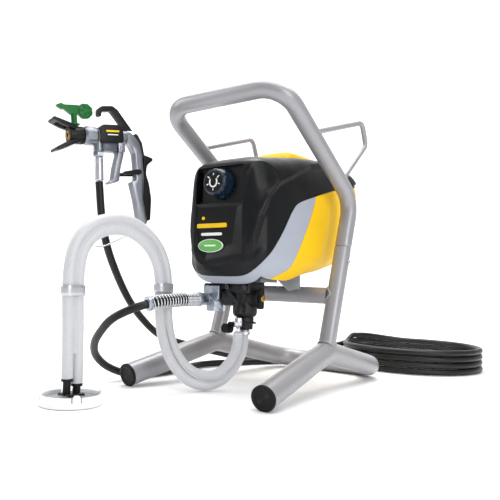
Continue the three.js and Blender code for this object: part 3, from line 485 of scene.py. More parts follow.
def slab(outline, low, high, place):
    """A flat outline given thickness from low to high; place(u, v, w) gives its points."""
    return skin([np.array([place(u, v, w) for u, v in outline]) for w in (low, high)])


def upright(u, v, w):
    return (u, w, v)


def sideways(u, v, w):
    return (w, u, v)


def flat(u, v, w):
    return (u, v, w)


def cuboid(x0, x1, y0, y1, z0, z1):
    return slab([(x0, y0), (x1, y0), (x1, y1), (x0, y1)], z0, z1, flat)


def both_sides(outline, inner, outer):
    """Two equal slabs, on +Y and -Y."""
    return [slab(outline, inner, outer, upright), slab(outline, -outer, -inner, upright)]


def moved(shape, turn, by):
    """A shape turned about the origin and then shifted."""
    return shape[0] @ turn.T + np.asarray(by, float), shape[1]


def combine(*shapes):
    vertices, faces, base = [], [], 0
    for v, f in shapes:
        vertices.append(v)
        faces.extend(tuple(i + base for i in face) for face in f)
        base += len(v)
    return np.vstack(vertices), faces


def in_gun(shape):
    return moved(shape, GUN_TURN, GUN_PLACE)


# ---------- objects ----------

def build(name, shape, bevel=0.0, segments=2, sharp=35):
    """A mesh object from a shape, with rounded edges where bevel is given."""
    vertices, faces = shape
    mesh = bpy.data.meshes.new(name)
    mesh.from_pydata(((vertices + SHIFT) * 0.001).tolist(), [], faces)
    made = bmesh.new()
    made.from_mesh(mesh)
    bmesh.ops.remove_doubles(made, verts=made.verts, dist=1e-6)
    bmesh.ops.recalc_face_normals(made, faces=made.faces)
    if bevel:
        edges = [e for e in made.edges if e.is_manifold and e.calc_face_angle(0) > math.radians(20)]
        bmesh.ops.bevel(made, geom=edges, offset=bevel * 0.001, segments=segments, profile=0.5,
                        affect="EDGES", clamp_overlap=True)
    made.to_mesh(mesh)
    made.free()
    obj = bpy.data.objects.new(name, mesh)
    bpy.context.scene.collection.objects.link(obj)
    soften(obj, sharp)
    return obj


def soften(obj, sharp=35):
    """Smooth shading, except over edges sharper than the angle."""
    mesh = obj.data
    mesh.polygons.foreach_set("use_smooth", [True] * len(mesh.polygons))
    mesh.set_sharp_from_angle(angle=math.radians(sharp))
    mesh.update()


def carve(obj, keep=(), add=(), cut=(), sharp=35):
    """Booleans in this order: keep what lies inside, add, cut away.

    A tool is a shape or an object, and is gone afterwards.
    """
    tools = []
    for operation, group in (("INTERSECT", keep), ("UNION", add), ("DIFFERENCE", cut)):
        for tool in group:
            tools.append(build("tool", tool) if isinstance(tool, tuple) else tool)
            modifier = obj.modifiers.new("carve", "BOOLEAN")
            modifier.operation = operation
            modifier.object = tools[-1]
            modifier.solver = "MANIFOLD"
    bpy.context.view_layer.update()
    graph = bpy.context.evaluated_depsgraph_get()
    mesh = bpy.data.meshes.new_from_object(obj.evaluated_get(graph))
    obj.modifiers.clear()
    obj.data = mesh
    for tool in tools:
        bpy.data.objects.remove(tool)
    soften(obj, sharp)
    return obj


def copied(obj, name):
    twin = obj.copy()
    twin.data = obj.data.copy()
    twin.name = name
    bpy.context.scene.collection.objects.link(twin)
    return twin


def wear(obj, look):
    obj.data.materials.clear()
    obj.data.materials.append(LOOKS[look])
    return obj


def put(obj, node, look=None):
    """obj stands for the node, rides on the node's body and takes its slot."""
    wear(obj, look or SLOT_OF[node])
    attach(obj, BODY_OF[node])
    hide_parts(node)
    return obj


def part(name, shape, node, look=None, **form):
    """A finished piece that stands for a node."""
    return put(build(name, shape, **form), node, look)


def piece(name, shape, look, body="machine", **form):
    """An extra piece that stands for no node."""
    obj = build(name, shape, **form)
    wear(obj, look)
    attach(obj, body)
    return obj


# ---------- cords ----------

HOSE_RADIUS = 6.0
COIL_CENTRE = (86, 424)
COIL_RADIUS = 139.0
COIL_LAYERS = 4
COIL_STEPS = 40
COIL_RISE = 12.08
PUMP_SIDE = [
    (-38, -131.2, 137), (-42, -178, 135), (-49, -222, 130.4), (-63, -244, 122), (-91, -255, 107),
    (-122, -250, 86), (-149, -238, 66), (-168, -219, 46), (-175, -193, 27), (-173, -160, 13),
    (-168, -120, 6.5), (-167, -70, 6.3), (-175, -10, 6.3), (-187, 40, 6.3), (-184, 75, 6.3),
    (-174, 105, 6.3), (-160, 135, 6.3), (-145, 167, 6.3), (-126, 206, 6.3), (-97, 240, 6.3),
    (-50, 265, 6.3), (8, 281, 6.3), (60, 285, 6.3),
]
GUN_SIDE = [
    (-55, 395, 41), (-63, 363, 35), (-78, 328, 27), (-100, 295, 18), (-126, 262, 11.5),
    (-148, 228, 7.5), (-163, 198, 6.5), (-171, 165, 8), (-175, 128, 18), (-177, 90, 26.5),
    (-180, 50, 35.5), (-181, 0, 48), (-179, -45, 59), (-176, -80, 71), (-171, -125, 100),
    (-165, -162, 133), (-161, -192, 172), (-162, -212, 212), (-165, -223, 256),
    (-168.2, -229.5, 312.9),
]
PAIR_ROUTE = [
    (-77, -329, 34), (-77, -331.5, 90), (-78, -334, 146), (-78, -334, 172), (-77, -330, 199),
    (-76, -320, 217), (-74, -302, 231), (-72, -279, 238), (-70, -254, 238), (-68, -231, 230),
    (-67, -210, 216), (-66, -196, 199), (-65, -187, 178), (-65, -183, 152), (-65, -181, 120),
    (-62, -177, 84), (-55, -170, 56), (-45, -160, 35), (-33, -147, 21), (-19, -132, 16),
    (-5, -117, 21), (6, -106, 36), (13, -98, 54), (16, -96, 68),
]
PAIR_SPACING = 15.5
TUBE_RADIUS = 7.5


def coil_points():
    """The wound part: each turn lies flat and steps up one layer where nobody sees it."""
    points = []
    for i in range(int((COIL_LAYERS - 0.25) * COIL_STEPS) + 1):
        swept = i / COIL_STEPS * 360
        layer, within = divmod(swept + 90, 360)
        angle = math.radians(swept - 90)
        points.append((COIL_CENTRE[0] + COIL_RADIUS * math.cos(angle),
                       COIL_CENTRE[1] + COIL_RADIUS * math.sin(angle),
                       6.3 + COIL_RISE * (int(layer) + ease((within - 290) / 60))))
    return points


def length_of(points):
    return float(np.linalg.norm(np.diff(points, axis=0), axis=1).sum())


def path_of(points):
    return [list(at(p)) for p in points]


def beside_pair(side):
    """The route of one tube of the pair: side -1 is the suction tube, 1 the return tube."""
    points = []
    for i, point in enumerate(PAIR_ROUTE):
        before = PAIR_ROUTE[max(i - 1, 0)]
        after = PAIR_ROUTE[min(i + 1, len(PAIR_ROUTE) - 1)]
        run, rise = after[1] - before[1], after[2] - before[2]
        reach = side * PAIR_SPACING / 2 / math.hypot(run, rise)
        points.append((point[0], point[1] - rise * reach, point[2] + run * reach))
    return points


def add_hose():
    route = spline(PUMP_SIDE + coil_points() + GUN_SIDE, 4.0)
    hose = piece("high_pressure_hose", tube(route, HOSE_RADIUS, 20), "hose_cover", sharp=60)
    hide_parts("hose_pump_side", "hose_coil", "hose_gun_side")
    return hose, route


def add_suction_tubes():
    suction = beside_pair(-1) + [(14, -84.5, 81), (14, -84, 92.2)]
    suction[0] = (suction[0][0], suction[0][1], suction[0][2] - 8)
    back = beside_pair(1) + [(19.5, -106.5, 80), (20, -107, 90)]
    made = []
    for name, points in (("suction_tube", suction), ("return_tube", back)):
        route = spline(points[::-1], 4.0)
        shape = tube(route, TUBE_RADIUS, 28, inner=5.2)
        made.append((part(name + "_hollow", shape, name, sharp=50), route))
    return made


def add_web():
    """The soft web that fills the crease between the two tubes."""
    lines = []
    for side in (-1, 1):
        line = spline(beside_pair(side), 4.0)
        lengths = lengths_along(line)
        lines.append(points_at(line, lengths, np.linspace(0.05, 0.93, 150) * lengths[-1]))
    middle = (lines[0] + lines[1]) / 2
    along = np.gradient(middle, axis=0)
    along /= np.linalg.norm(along, axis=1)[:, None]
    over = lines[1] - lines[0]
    over -= along * np.sum(over * along, axis=1)[:, None]
    over /= np.linalg.norm(over, axis=1)[:, None]
    side = np.cross(along, over)
    section = [(-2.6, -5.2), (-1.2, -5.0), (1.2, -5.0), (2.6, -5.2), (2.6, 5.2), (1.2, 5.0), (-1.2, 5.0),
               (-2.6, 5.2)]
    rings = [np.array([m + u * o + v * w for u, v in section]) for m, o, w in zip(middle, over, side)]
    return piece("tube_web", skin(rings), "clear_tube", sharp=60)


HOSE, HOSE_ROUTE = add_hose()
SUCTION, BACK = add_suction_tubes()
WEB = add_web()


# ---------- stand ----------

FOOT_RADIUS = 17.5
LEG_RADIUS = 13.5
FOOT_FRONT = np.array([127, -187, 17.5])
FOOT_APEX = np.array([111, 0, 61])
FOOT_REAR = np.array([103, 213, 17.5])
LEG_TOP = np.array([111, 73, 309])
HANDLE = np.array([111, -145, 442])
SEAM_SHARE = 0.67
CROSSBAR_SHARE = 0.352
BUTTON_SHARE = 0.577
SIDES = ((1, "right"), (-1, "left"))
MIRROR = np.array([-1, 1, 1])


def flip(point, side):
    """The point itself on the right side, its mirror image on the left."""
    return np.asarray(point, float) * (MIRROR if side < 0 else 1)


def share(a, b, t):
    return np.asarray(a, float) * (1 - t) + np.asarray(b, float) * t


def seam_bead(axis_point, axis, radius, other_point, other_axis, other_radius, name, count=72):
    """A weld bead where one round tube meets another: follows their meeting line.

    A negative other_radius picks the near side of the other tube instead of the far side.
    """
    axis, side, up = axes_for(axis)
    other_axis = np.asarray(other_axis, float) / np.linalg.norm(other_axis)
    points = []
    for i in range(count):
        angle = 2 * math.pi * i / count
        start = axis_point + radius * (math.cos(angle) * side + math.sin(angle) * up)
        rel = start - other_point
        a = axis - (axis @ other_axis) * other_axis
        b = rel - (rel @ other_axis) * other_axis
        qa, qb, qc = a @ a, 2 * a @ b, b @ b - other_radius**2
        root = max(qb * qb - 4 * qa * qc, 0)
        t = (-qb + math.copysign(math.sqrt(root), other_radius)) / (2 * qa)
        points.append(start + axis * t)
    points = np.array(points)
    centre = points.mean(axis=0)
    rings = []
    for i in range(count):
        forward = points[(i + 1) % count] - points[i - 1]
        forward /= np.linalg.norm(forward)
        outward = points[i] - centre
        outward -= forward * (outward @ forward)
        outward /= np.linalg.norm(outward)
        upward = np.cross(forward, outward)
        size = 1.9 + 0.22 * math.sin(i * 2.1)
        ring = [points[i] + size * (math.cos(a) * outward + math.sin(a) * upward)
                for a in np.linspace(0, 2 * math.pi, 8, endpoint=False)]
        rings.append(np.array(ring))
    piece(name, skin(rings, loop=True), "silver_paint", sharp=80)


def add_foot():
    half = [FOOT_FRONT, FOOT_APEX, FOOT_REAR]
    line = bent([flip(p, 1) for p in half] + [flip(p, -1) for p in half[::-1]], 52, 4.0)
    part("foot_tube_bent", tube(line, FOOT_RADIUS, 44), "foot_tube", sharp=50)
    profile = rounded([(0, 3.4), (11.5, 3.4), (12.4, 4.4), (17.9, 4.4), (17.9, 0.25), (15, 0.25),
                       (15, -14), (0, -14)], 1.5)
    for side, word in SIDES:
        front = flip(FOOT_FRONT, side)
        cap = lathe(profile[::-1], front, front - flip(FOOT_APEX, side), 56)
        part(word + "_foot_cap_plug", cap, word + "_foot_cap")


def add_legs():
    for side, word in SIDES:
        apex, top = flip(FOOT_APEX, side), flip(LEG_TOP, side)
        up = (top - apex) / np.linalg.norm(top - apex)
        reach = np.linalg.norm(share(apex, top, SEAM_SHARE) - apex)
        profile = [(0, 6), (LEG_RADIUS, 6), (LEG_RADIUS, reach - 0.3), (11.6, reach - 0.3),
                   (11.6, reach - 24), (0, reach - 24)]
        part(word + "_leg_tube", turned(profile, 0.9, apex, up), word + "_leg")
        foot_axis = (flip(FOOT_REAR, side) - apex + (apex - flip(FOOT_FRONT, side))) / 2
        seam_bead(apex, up, LEG_RADIUS, apex, foot_axis, 17.4, word + "_leg_weld")
        outward = np.array([side, 0, 0])
        pin = turned([(0, -10), (3.4, -10), (3.4, 2.6), (0, 3.8)], 1.6,
                     share(apex, top, BUTTON_SHARE) + outward * 13.2, outward, 32)
        part(word + "_snap_pin", pin, word + "_snap_button")


def add_bow():
    points, shapes = [], []
    for side in (1, -1):
        apex, top = flip(FOOT_APEX, side), flip(LEG_TOP, side)
        up = (top - apex) / np.linalg.norm(top - apex)
        seam = share(apex, top, SEAM_SHARE) + up * 0.6
        points.extend([seam, top, flip(HANDLE, side)][::side])
        shapes.append(lathe([(0, -50), (11.2, -50), (11.2, 2), (0, 2)], seam, up, 40))
    line = bent(points, 42, 3.5)
    bow = tube(line, smooth_end(line, LEG_RADIUS, 0.9), 40)
    part("handle_bow_bent", combine(bow, *shapes), "handle_bow", sharp=50)


def add_crossbar():
    middle = share(FOOT_APEX, LEG_TOP, CROSSBAR_SHARE)
    line = np.array([(-100, middle[1], middle[2]), (100, middle[1], middle[2])], float)
    part("crossbar_tube", tube(resample(line, 8), 13.4, 44), "crossbar", sharp=50)
    for side, word in SIDES:
        leg_axis = flip(LEG_TOP, side) - flip(FOOT_APEX, side)
        seam_bead(np.array([0, middle[1], middle[2]]), (side, 0, 0), 13.4,
                  flip(middle, side), leg_axis, -13.6, word + "_crossbar_weld")


def add_hooks():
    for side, word in SIDES:
        points = [(side * 117, y, z) for y, z in ((-66, 392), (96, 447), (113, 411), (29, 336))]
        line = bent(points, 13, 2.0)
        part(word + "_hose_hook_rod", tube(line, 4.4, 20), word + "_hose_hook", sharp=60)
        for letter, end, inward in (("a", line[0], line[6] - line[0]), ("b", line[-1], line[-7] - line[-1])):
            ring = turned([(3.6, -3.5), (6.2, -1.2), (5.4, 2.2), (4.0, 4.4)], 1, end, inward, 28)
            piece(word + "_hook_weld_" + letter, ring, "silver_paint", sharp=80)


def add_bracket():
    y = share(FOOT_APEX, LEG_TOP, CROSSBAR_SHARE)[1] - LEG_RADIUS - 0.3
    outline = [(-54, 158), (-33, 153), (-4, 176), (4, 176), (33, 153), (54, 158), (54, 203), (-54, 203)]
    plate = build("mount_bracket_folded", slab(outline, y - 3, y, upright))
    carve(plate, add=[cuboid(-54, 54, y - 3, 44, 200, 203)])
    bevelled = bmesh.new()
    bevelled.from_mesh(plate.data)
    edges = [e for e in bevelled.edges if e.is_manifold and e.calc_face_angle(0) > math.radians(30)]
    bmesh.ops.bevel(bevelled, geom=edges, offset=0.0006, segments=2, profile=0.5, affect="EDGES",
                    clamp_overlap=True)
    bevelled.to_mesh(plate.data)
    bevelled.free()
    soften(plate)
    put(plate, "mount_bracket")


add_foot()
add_legs()
add_bow()
add_crossbar()
add_hooks()
add_bracket()


# ---------- housing ----------

# Cross-sections along Y: y, half width, bottom, top, squareness of the lower and the upper half.
SECTIONS = np.array([
    (-136, 52, 188, 336, 4.2, 7), (-132, 62, 178, 344, 4.2, 6.5), (-124, 69, 169, 350, 4.2, 5.5),
    (-112, 75, 162, 355, 4.2, 4.8), (-90, 78, 160, 359, 4.2, 4.4), (-50, 80, 162, 366, 4.6, 4.6),
    (0, 80, 177, 375, 6.5, 5), (60, 80, 190, 382, 8, 5), (110, 80, 205, 384, 8, 5), (150, 79, 238, 380, 7, 5),
    (172, 75, 264, 371, 6, 5), (186, 66, 288, 358, 5, 5),
], float)
CROWN = np.array([
    (-6, 35, 340, 376, 5, 5), (3, 38, 340, 387.5, 5, 5), (60, 40, 340, 389, 5, 5), (120, 38, 340, 389, 5, 5),
    (150, 34, 340, 384, 5, 5), (168, 30, 340, 371, 5, 5),
], float)
FRONT_PARTING = [(-200, 167), (-150, 168.5), (-136, 169.5), (-128.5, 172), (-125.5, 183), (-117, 198),
                 (-104, 213.4), (-80, 245), (-60, 275), (-47, 288), (10, 309), (82, 331), (164, 354),
                 (200, 366)]
BAND_PARTING = [(-112, 140), (-89, 170), (-56, 189), (-33, 224), (-5, 271), (15, 318), (30, 360)]


def interpolate(table, count):
    """Smooth rows between the table's rows, without overshoot."""
    y = table[:, 0]
    wanted = np.linspace(y[0], y[-1], count)
    index = np.clip(np.searchsorted(y, wanted) - 1, 0, len(y) - 2)
    run = y[index + 1] - y[index]
    t = (wanted - y[index]) / run
    out = [wanted]
    for v in table.T[1:]:
        step = np.diff(v) / np.diff(y)
        slope = np.zeros(len(v))
        slope[0], slope[-1] = step[0], step[-1]
        for i in range(1, len(v) - 1):
            a, b = step[i - 1], step[i]
            slope[i] = 0 if a * b <= 0 else 2 * a * b / (a + b)
        out.append(hermite(t, v[index], v[index + 1], slope[index], slope[index + 1], run))
    return np.stack(out, axis=1)


def section_ring(y, half, low, high, squareness, count):
    """One cross-section of the housing, with evenly spaced points."""
    t = np.linspace(0, 2 * math.pi, 2400, endpoint=False)
    power = np.where(np.sin(t) > 0, 2 / squareness[1], 2 / squareness[0])
    x = half * np.sign(np.cos(t)) * np.abs(np.cos(t)) ** power
    z = (low + high) / 2 + (high - low) / 2 * np.sign(np.sin(t)) * np.abs(np.sin(t)) ** power
    closed = np.stack([np.append(x, x[0]), np.full(2401, y), np.append(z, z[0])], axis=1)
    lengths = lengths_along(closed)
    return points_at(closed, lengths, np.linspace(0, lengths[-1], count, endpoint=False))


def body_shape(table, rows, count, cap_rows, crown=1.2, shrink=0.0):
    """The closed body through a table's cross-sections; crown bulges its ends."""
    table = table.copy()
    table[:, 1] -= shrink
    table[:, 2] += shrink
    table[:, 3] -= shrink
    table[0, 0] += shrink
    table[-1, 0] -= shrink
    rings = [section_ring(y, w, low, high, squareness, count)
             for y, w, low, high, *squareness in interpolate(table, rows)]
    front, rear = [], []
    for i in range(1, cap_rows + 1):
        size = 1 - i / (cap_rows + 0.5)
        for base, where, sign in ((rings[0], front, -1), (rings[-1], rear, 1)):
            centre = base.mean(axis=0)
            ring = centre + (base - centre) * size
            ring[:, 1] += sign * crown * (1 - size**2)
            where.append(ring)
    return skin(front[::-1] + rings + rear)


def side_of_line(points, line):
    """Signed distance in the Y-Z plane to a polyline: positive to the left of its direction."""
    line = np.asarray(line, float)
    best = np.full(len(points), 1e9)
    signed = np.zeros(len(points))
    for a, b in zip(line, line[1:]):
        d = b - a
        t = np.clip(((points - a) @ d) / (d @ d), 0, 1)
        nearest = a + t[:, None] * d
        gap = np.linalg.norm(points - nearest, axis=1)
        cross = d[0] * (points[:, 1] - a[1]) - d[1] * (points[:, 0] - a[0])
        closer = gap < best
        best = np.where(closer, gap, best)
        signed = np.where(closer, np.sign(cross) * gap, signed)
    return signed


PANEL = [(-50, 283), (41, 281), (44, 206.5), (-26.8, 197), (-50, 213)]
PANEL_FLOOR = [(-46, 278.5), (30.5, 276.5), (22, 222), (-27, 209), (-46.5, 221)]
CORNER_EDGE = [(46, 205), (45, 230), (44, 255), (44.5, 282), (46.5, 312), (50, 340)]
CHIN = [(-75, 222), (-54, 207), (-24.5, 182.5), (58, 196), (74, 214)]
ARCH = [(120, 384), (60, 374), (5, 361), (-38, 341), (-91, 316), (-112, 296), (-126, 262), (-133, 231),
        (-137, 205), (-140, 180)]


def edge_gap(x, z, a, b):
    """Distance from the line a to b in the X-Z plane, positive on its right."""
    dx, dz = b[0] - a[0], b[1] - a[1]
    return (dz * (x - a[0]) - dx * (z - a[1])) / math.hypot(dx, dz)


def inside_panel(x, z):
    """0 outside the front panel, 1 on its floor, in between on its slanting borders."""
    shares = []
    for i in range(len(PANEL)):
        outer = edge_gap(x, z, PANEL[i - 1], PANEL[i])
        floor = edge_gap(x, z, PANEL_FLOOR[i - 1], PANEL_FLOOR[i])
        shares.append(outer / (outer - floor))
    return np.clip(np.min(shares, axis=0), 0, 1)


def coordinates(mesh):
    """The vertices in the machine's millimetres, and their normals."""
    co = np.empty(len(mesh.vertices) * 3)
    normal = np.empty(len(mesh.vertices) * 3)
    mesh.vertices.foreach_get("co", co)
    mesh.vertices.foreach_get("normal", normal)
    return co.reshape(-1, 3) * 1000 - SHIFT, normal.reshape(-1, 3)


def place(mesh, points):
    mesh.vertices.foreach_set("co", ((points + SHIFT) * 0.001).ravel())
    mesh.update()


def cut_corner(points):
    """Flattens the front corners: level by level, from the front face's edge to the side arch."""
    x, y, z = points.T
    edge = np.array(CORNER_EDGE)
    arch = np.array(ARCH[::-1], float)
    x1 = np.interp(z, edge[:, 1], edge[:, 0])
    y2 = np.clip(np.interp(z, arch[:, 1], arch[:, 0]), -134, -88)
    dx, dy = 77.0 - x1, y2 + 136.0
    size = np.hypot(dx, dy)
    over = ((np.abs(x) - x1) * dy - (y + 136.0) * dx) / size
    over = np.where((z > 200) & (np.abs(x) > x1 - 4), np.clip(over, 0, None), 0)
    push = 9 * (1 - np.exp(-over / 9)) * np.where(x < 0, 0.25, 1.0)
    push *= ease((z - 200) / 14) * ease((356 - z) / 18)
    out = points.copy()
    out[:, 0] -= np.sign(x) * push * dy / size
    out[:, 1] += push * dx / size
    return out


def shape_mask(obj):
    """Gives the front cover its facets: cut corners, side arch, panel and chin."""
    mesh = obj.data
    place(mesh, cut_corner(coordinates(mesh)[0]))
    points, normal = coordinates(mesh)
    x, _, z = points.T
    arch = np.array(ARCH, float)
    parting = spline([(0, *p) for p in FRONT_PARTING], 3)[:, 1:]
    gap = side_of_line(points[:, 1:], arch)
    beyond = np.abs(side_of_line(points[:, 1:], parting))
    share_out = beyond / (beyond + np.clip(gap, 0, None) + 1e-6)
    on_side = ease((np.abs(x) - 44) / 12)
    push = (-4.6 * np.clip(gap / 7, 0, 1) * share_out + 0.5 * (1 - share_out)) * on_side
    push += 0.5 * np.exp(-((gap + 1.2) / 2.4) ** 2) * on_side
    facing = ease((-normal[:, 1] - 0.4) / 0.25)
    push -= (4.6 - 1.8 * ease((z - 215) / 50)) * inside_panel(x, z) * facing
    ridge = np.abs(side_of_line(points[:, ::2], np.array(CHIN, float)))
    push += 1.1 * np.clip(1 - ridge / 6, 0, 1) * ease((-normal[:, 1] - 0.1) / 0.3)
    place(mesh, points + normal * push[:, None])


def darken_panel(mesh):
    """Gives the floor of the front panel a darker, smoother material: painted shade in its recess."""
    mesh.materials.append(LOOKS["black_dial_and_painted_shade"])
    centre = np.empty(len(mesh.polygons) * 3)
    mesh.polygons.foreach_get("center", centre)
    x, y, z = (centre.reshape(-1, 3) * 1000 - SHIFT).T
    # painted shade: faces on the recessed panel floor take the darker material
    floor = (inside_panel(x, z) > 0.985) & (y < -128)
    mesh.polygons.foreach_set("material_index", floor.astype(np.int32))


def shape_rear(obj):
    """Turns the rear cover's sides inward behind a slanting crease."""
    points, normal = coordinates(obj.data)
    crease = [(60, 440), (69, 325), (54, 284), (30, 216), (22, 196), (16, 120)]
    behind = np.clip(side_of_line(points[:, 1:], crease), 0, None)
    push = np.clip(behind * 0.09, 0, 6.5) * ease((np.abs(normal[:, 0]) - 0.3) / 0.4)
    points[:, 0] -= np.sign(points[:, 0]) * push
    place(obj.data, points)


def zone(outline):
    """A block across the whole housing, from an outline in the Y-Z plane."""
    return slab(outline, -100, 100, sideways)


def smooth_line(points, step=4.0):
    return [tuple(p) for p in spline([(0, *p) for p in points], step)[:, 1:]]


FACE_Y = -136.6
BAY = [(-50, 283), (20, 283), (29, 293), (42, 339.5), (-50, 339.5)]


def add_housing():
    outer = build("housing", body_shape(SECTIONS, 190, 340, 44), sharp=60)
    inner_shape = body_shape(SECTIONS, 60, 96, 6, shrink=3.6)
    crown_inner = body_shape(CROWN, 30, 48, 4, crown=0.6, shrink=3.0)
    parting, band = smooth_line(FRONT_PARTING), smooth_line(BAND_PARTING)
    under = [(y + 0.4, z - 0.45) for y, z in parting] + [(200, 100), (-200, 100)]
    pump_window = cuboid(-60, 62, -112, 60, 140, 215)
    switch_hole = cuboid(-34, -6, 170, 200, 305, 335)
    crown_slot = cuboid(-42.4, 42.4, -8.4, 210, 300, 430)

    def hollow(form=None):
        shell = build("hollow", inner_shape)
        if form:
            form(shell)
        bay_floor = [cuboid(-57, 50, -140, -120, 277, 346)] if form is shape_mask else []
        return carve(shell, add=[crown_inner], cut=bay_floor)

    def behind_band(gap):
        return zone([(y + gap, z) for y, z in band] + [(300, 360), (300, 100)])

    front = copied(outer, "front_cover_moulded")
    shape_mask(front)
    bay = slab(outline_of(BAY, 5, 6), -150, -127.4, upright)
    grille_slot = build("slot", cuboid(-50.4, -43.4, -131, -112, 288, 335), bevel=1.5)
    carve(front, keep=[zone(parting + [(200, 440), (-200, 440)])],
          cut=[hollow(shape_mask), crown_slot, bay, grille_slot], sharp=18)
    put(front, "front_cover")
    darken_panel(front.data)

    lip = build("front_cover_lip", body_shape(SECTIONS, 90, 150, 8, shrink=3.8), sharp=60)
    shape_mask(lip)
    lip_zone = zone([(y - 4, z + 5) for y, z in parting[::-1]] + [(y + 4, z - 5) for y, z in parting])
    carve(lip, keep=[lip_zone], cut=[body_shape(SECTIONS, 60, 96, 6, shrink=5.4), crown_slot, pump_window],
          sharp=40)
    put(lip, "front_cover")

    middle = copied(outer, "middle_shell_moulded")
    carve(middle, keep=[zone(under)], cut=[behind_band(-0.35), hollow(), pump_window], sharp=32)
    put(middle, "middle_shell")

    rear = copied(outer, "rear_cover_moulded")
    shape_rear(rear)
    carve(rear, keep=[behind_band(0.35), zone(under)], cut=[hollow(shape_rear), pump_window, switch_hole],
          sharp=32)
    roof = copied(outer, "rear_cover_crown")
    carve(roof, add=[body_shape(CROWN, 70, 120, 12, crown=0.6)], sharp=40)
    carve(roof, keep=[cuboid(-41.8, 41.8, -7.8, 210, 300, 430)], cut=[hollow(), switch_hole], sharp=32)
    put(rear, "rear_cover")
    put(roof, "rear_cover")
    bpy.data.objects.remove(outer)


add_housing()


def badge(name, outline, y, look, thick=0.5):
    """A plain plate on the front; y is its rear face."""
    piece(name, slab(outline, y - thick, y, upright), look, bevel=0.25)


def add_badges():
    """Plain bars stand where a maker would put its marks."""
    badge("badge_bar_upper", rectangle(-46, 12, 246, 252.6, 2.0), FACE_Y + 3.6, "yellow_plastic", 2.3)
    badge("badge_bar_lower", rectangle(-37, 3, 234, 238.4, 2.0), FACE_Y + 3.6, "white_plastic", 2.3)
    disc = turned([(0, 0), (2.6, 0), (2.6, 2.3), (0, 2.3)], 0.2, (-34, FACE_Y + 3.6, 261), (0, -1, 0), 28)
    piece("badge_dot", disc, "yellow_plastic")
    angles = np.linspace(0, 2 * math.pi, 48, endpoint=False)
    for name, reach, rise, low, look in (("badge_oval_rim", 24.2, 10.2, 3.6, "white_plastic"),
                                         ("badge_oval", 23.2, 9.3, 3.3, "oval_green")):
        oval = [(-18 + reach * math.cos(a), 218.6 + rise * math.sin(a)) for a in angles]
        badge(name, oval, FACE_Y + low, look, 2.4)
    badge("badge_oval_bar", rectangle(-29, -7, 217.4, 220, 0.9), FACE_Y + 1.2, "white_plastic", 0.7)


def add_knob():
    x, z = -3.4, 313

    def grip(angle, r, h):
        if 8.0 < h < 20.5 and r > 14:
            return 1 - 0.045 * max(0.0, math.cos(angle * 7)) ** 0.7
        return 1.0

    profile = [(0, 0), (23.4, 0), (23.7, 4.0), (22.6, 7), (22.2, 9.2), (21.0, 18.6), (19.0, 22.4),
               (17.2, 23.6), (16.4, 22.8), (0, 22.6)]
    dial = turned(profile, 1.4, (x, -127.8, z), (0, -1, 0), 196, ripple=grip)
    part("pressure_dial", dial, "pressure_knob", sharp=50)
    disc = turned([(0, 0), (16.0, 0), (16.0, 0.5), (0, 0.5)], 0.3, (x, -150.3, z), (0, -1, 0), 72)
    piece("dial_face", disc, "black_dial_and_painted_shade", "pressure_knob")
    face = -151.2
    ticks = []
    for degrees, size in ((0, 1.5), (52, 2.4), (-52, 2.4), (108, 1.8), (-108, 1.8), (180, 1.5)):
        angle = math.radians(degrees)
        mid = np.array([x + 11.6 * math.sin(angle), z + 11.6 * math.cos(angle)])
        out = np.array([math.sin(angle), math.cos(angle)])
        across = np.array([out[1], -out[0]])
        corners = [mid + out * size + across * 0.6, mid - out * size + across * 0.9,
                   mid - out * size - across * 0.9, mid + out * size - across * 0.6]
        ticks.append(slab(corners, face, face + 0.8, upright))
    piece("dial_ticks", combine(*ticks), "white_plastic", "pressure_knob")
    turns = np.radians(np.linspace(-36, 216, 44))
    arc = [(x + 6.8 * math.cos(a), face + 0.45, z - 0.4 - 7.2 * math.sin(a)) for a in turns]
    piece("dial_arc", tube(resample(arc, 0.5), 1.15, 8), "white_plastic", "pressure_knob", sharp=80)
    outline = outline_of([(-43.2, 283.4), (19.8, 283.4), (28.6, 293.2), (41.4, 339), (-43.2, 339)], 4.6, 6)
    piece("knob_bay_floor", slab(outline, -127.6, -125.2, upright), "charcoal_plastic")
    collar = turned([(24.0, -1), (25.2, -1), (25.2, 1.2), (24.0, 1.2)], 0.4, (x, -127.4, z), (0, -1, 0), 72,
                    closed=True)
    piece("knob_bay_collar", collar, "charcoal_plastic")


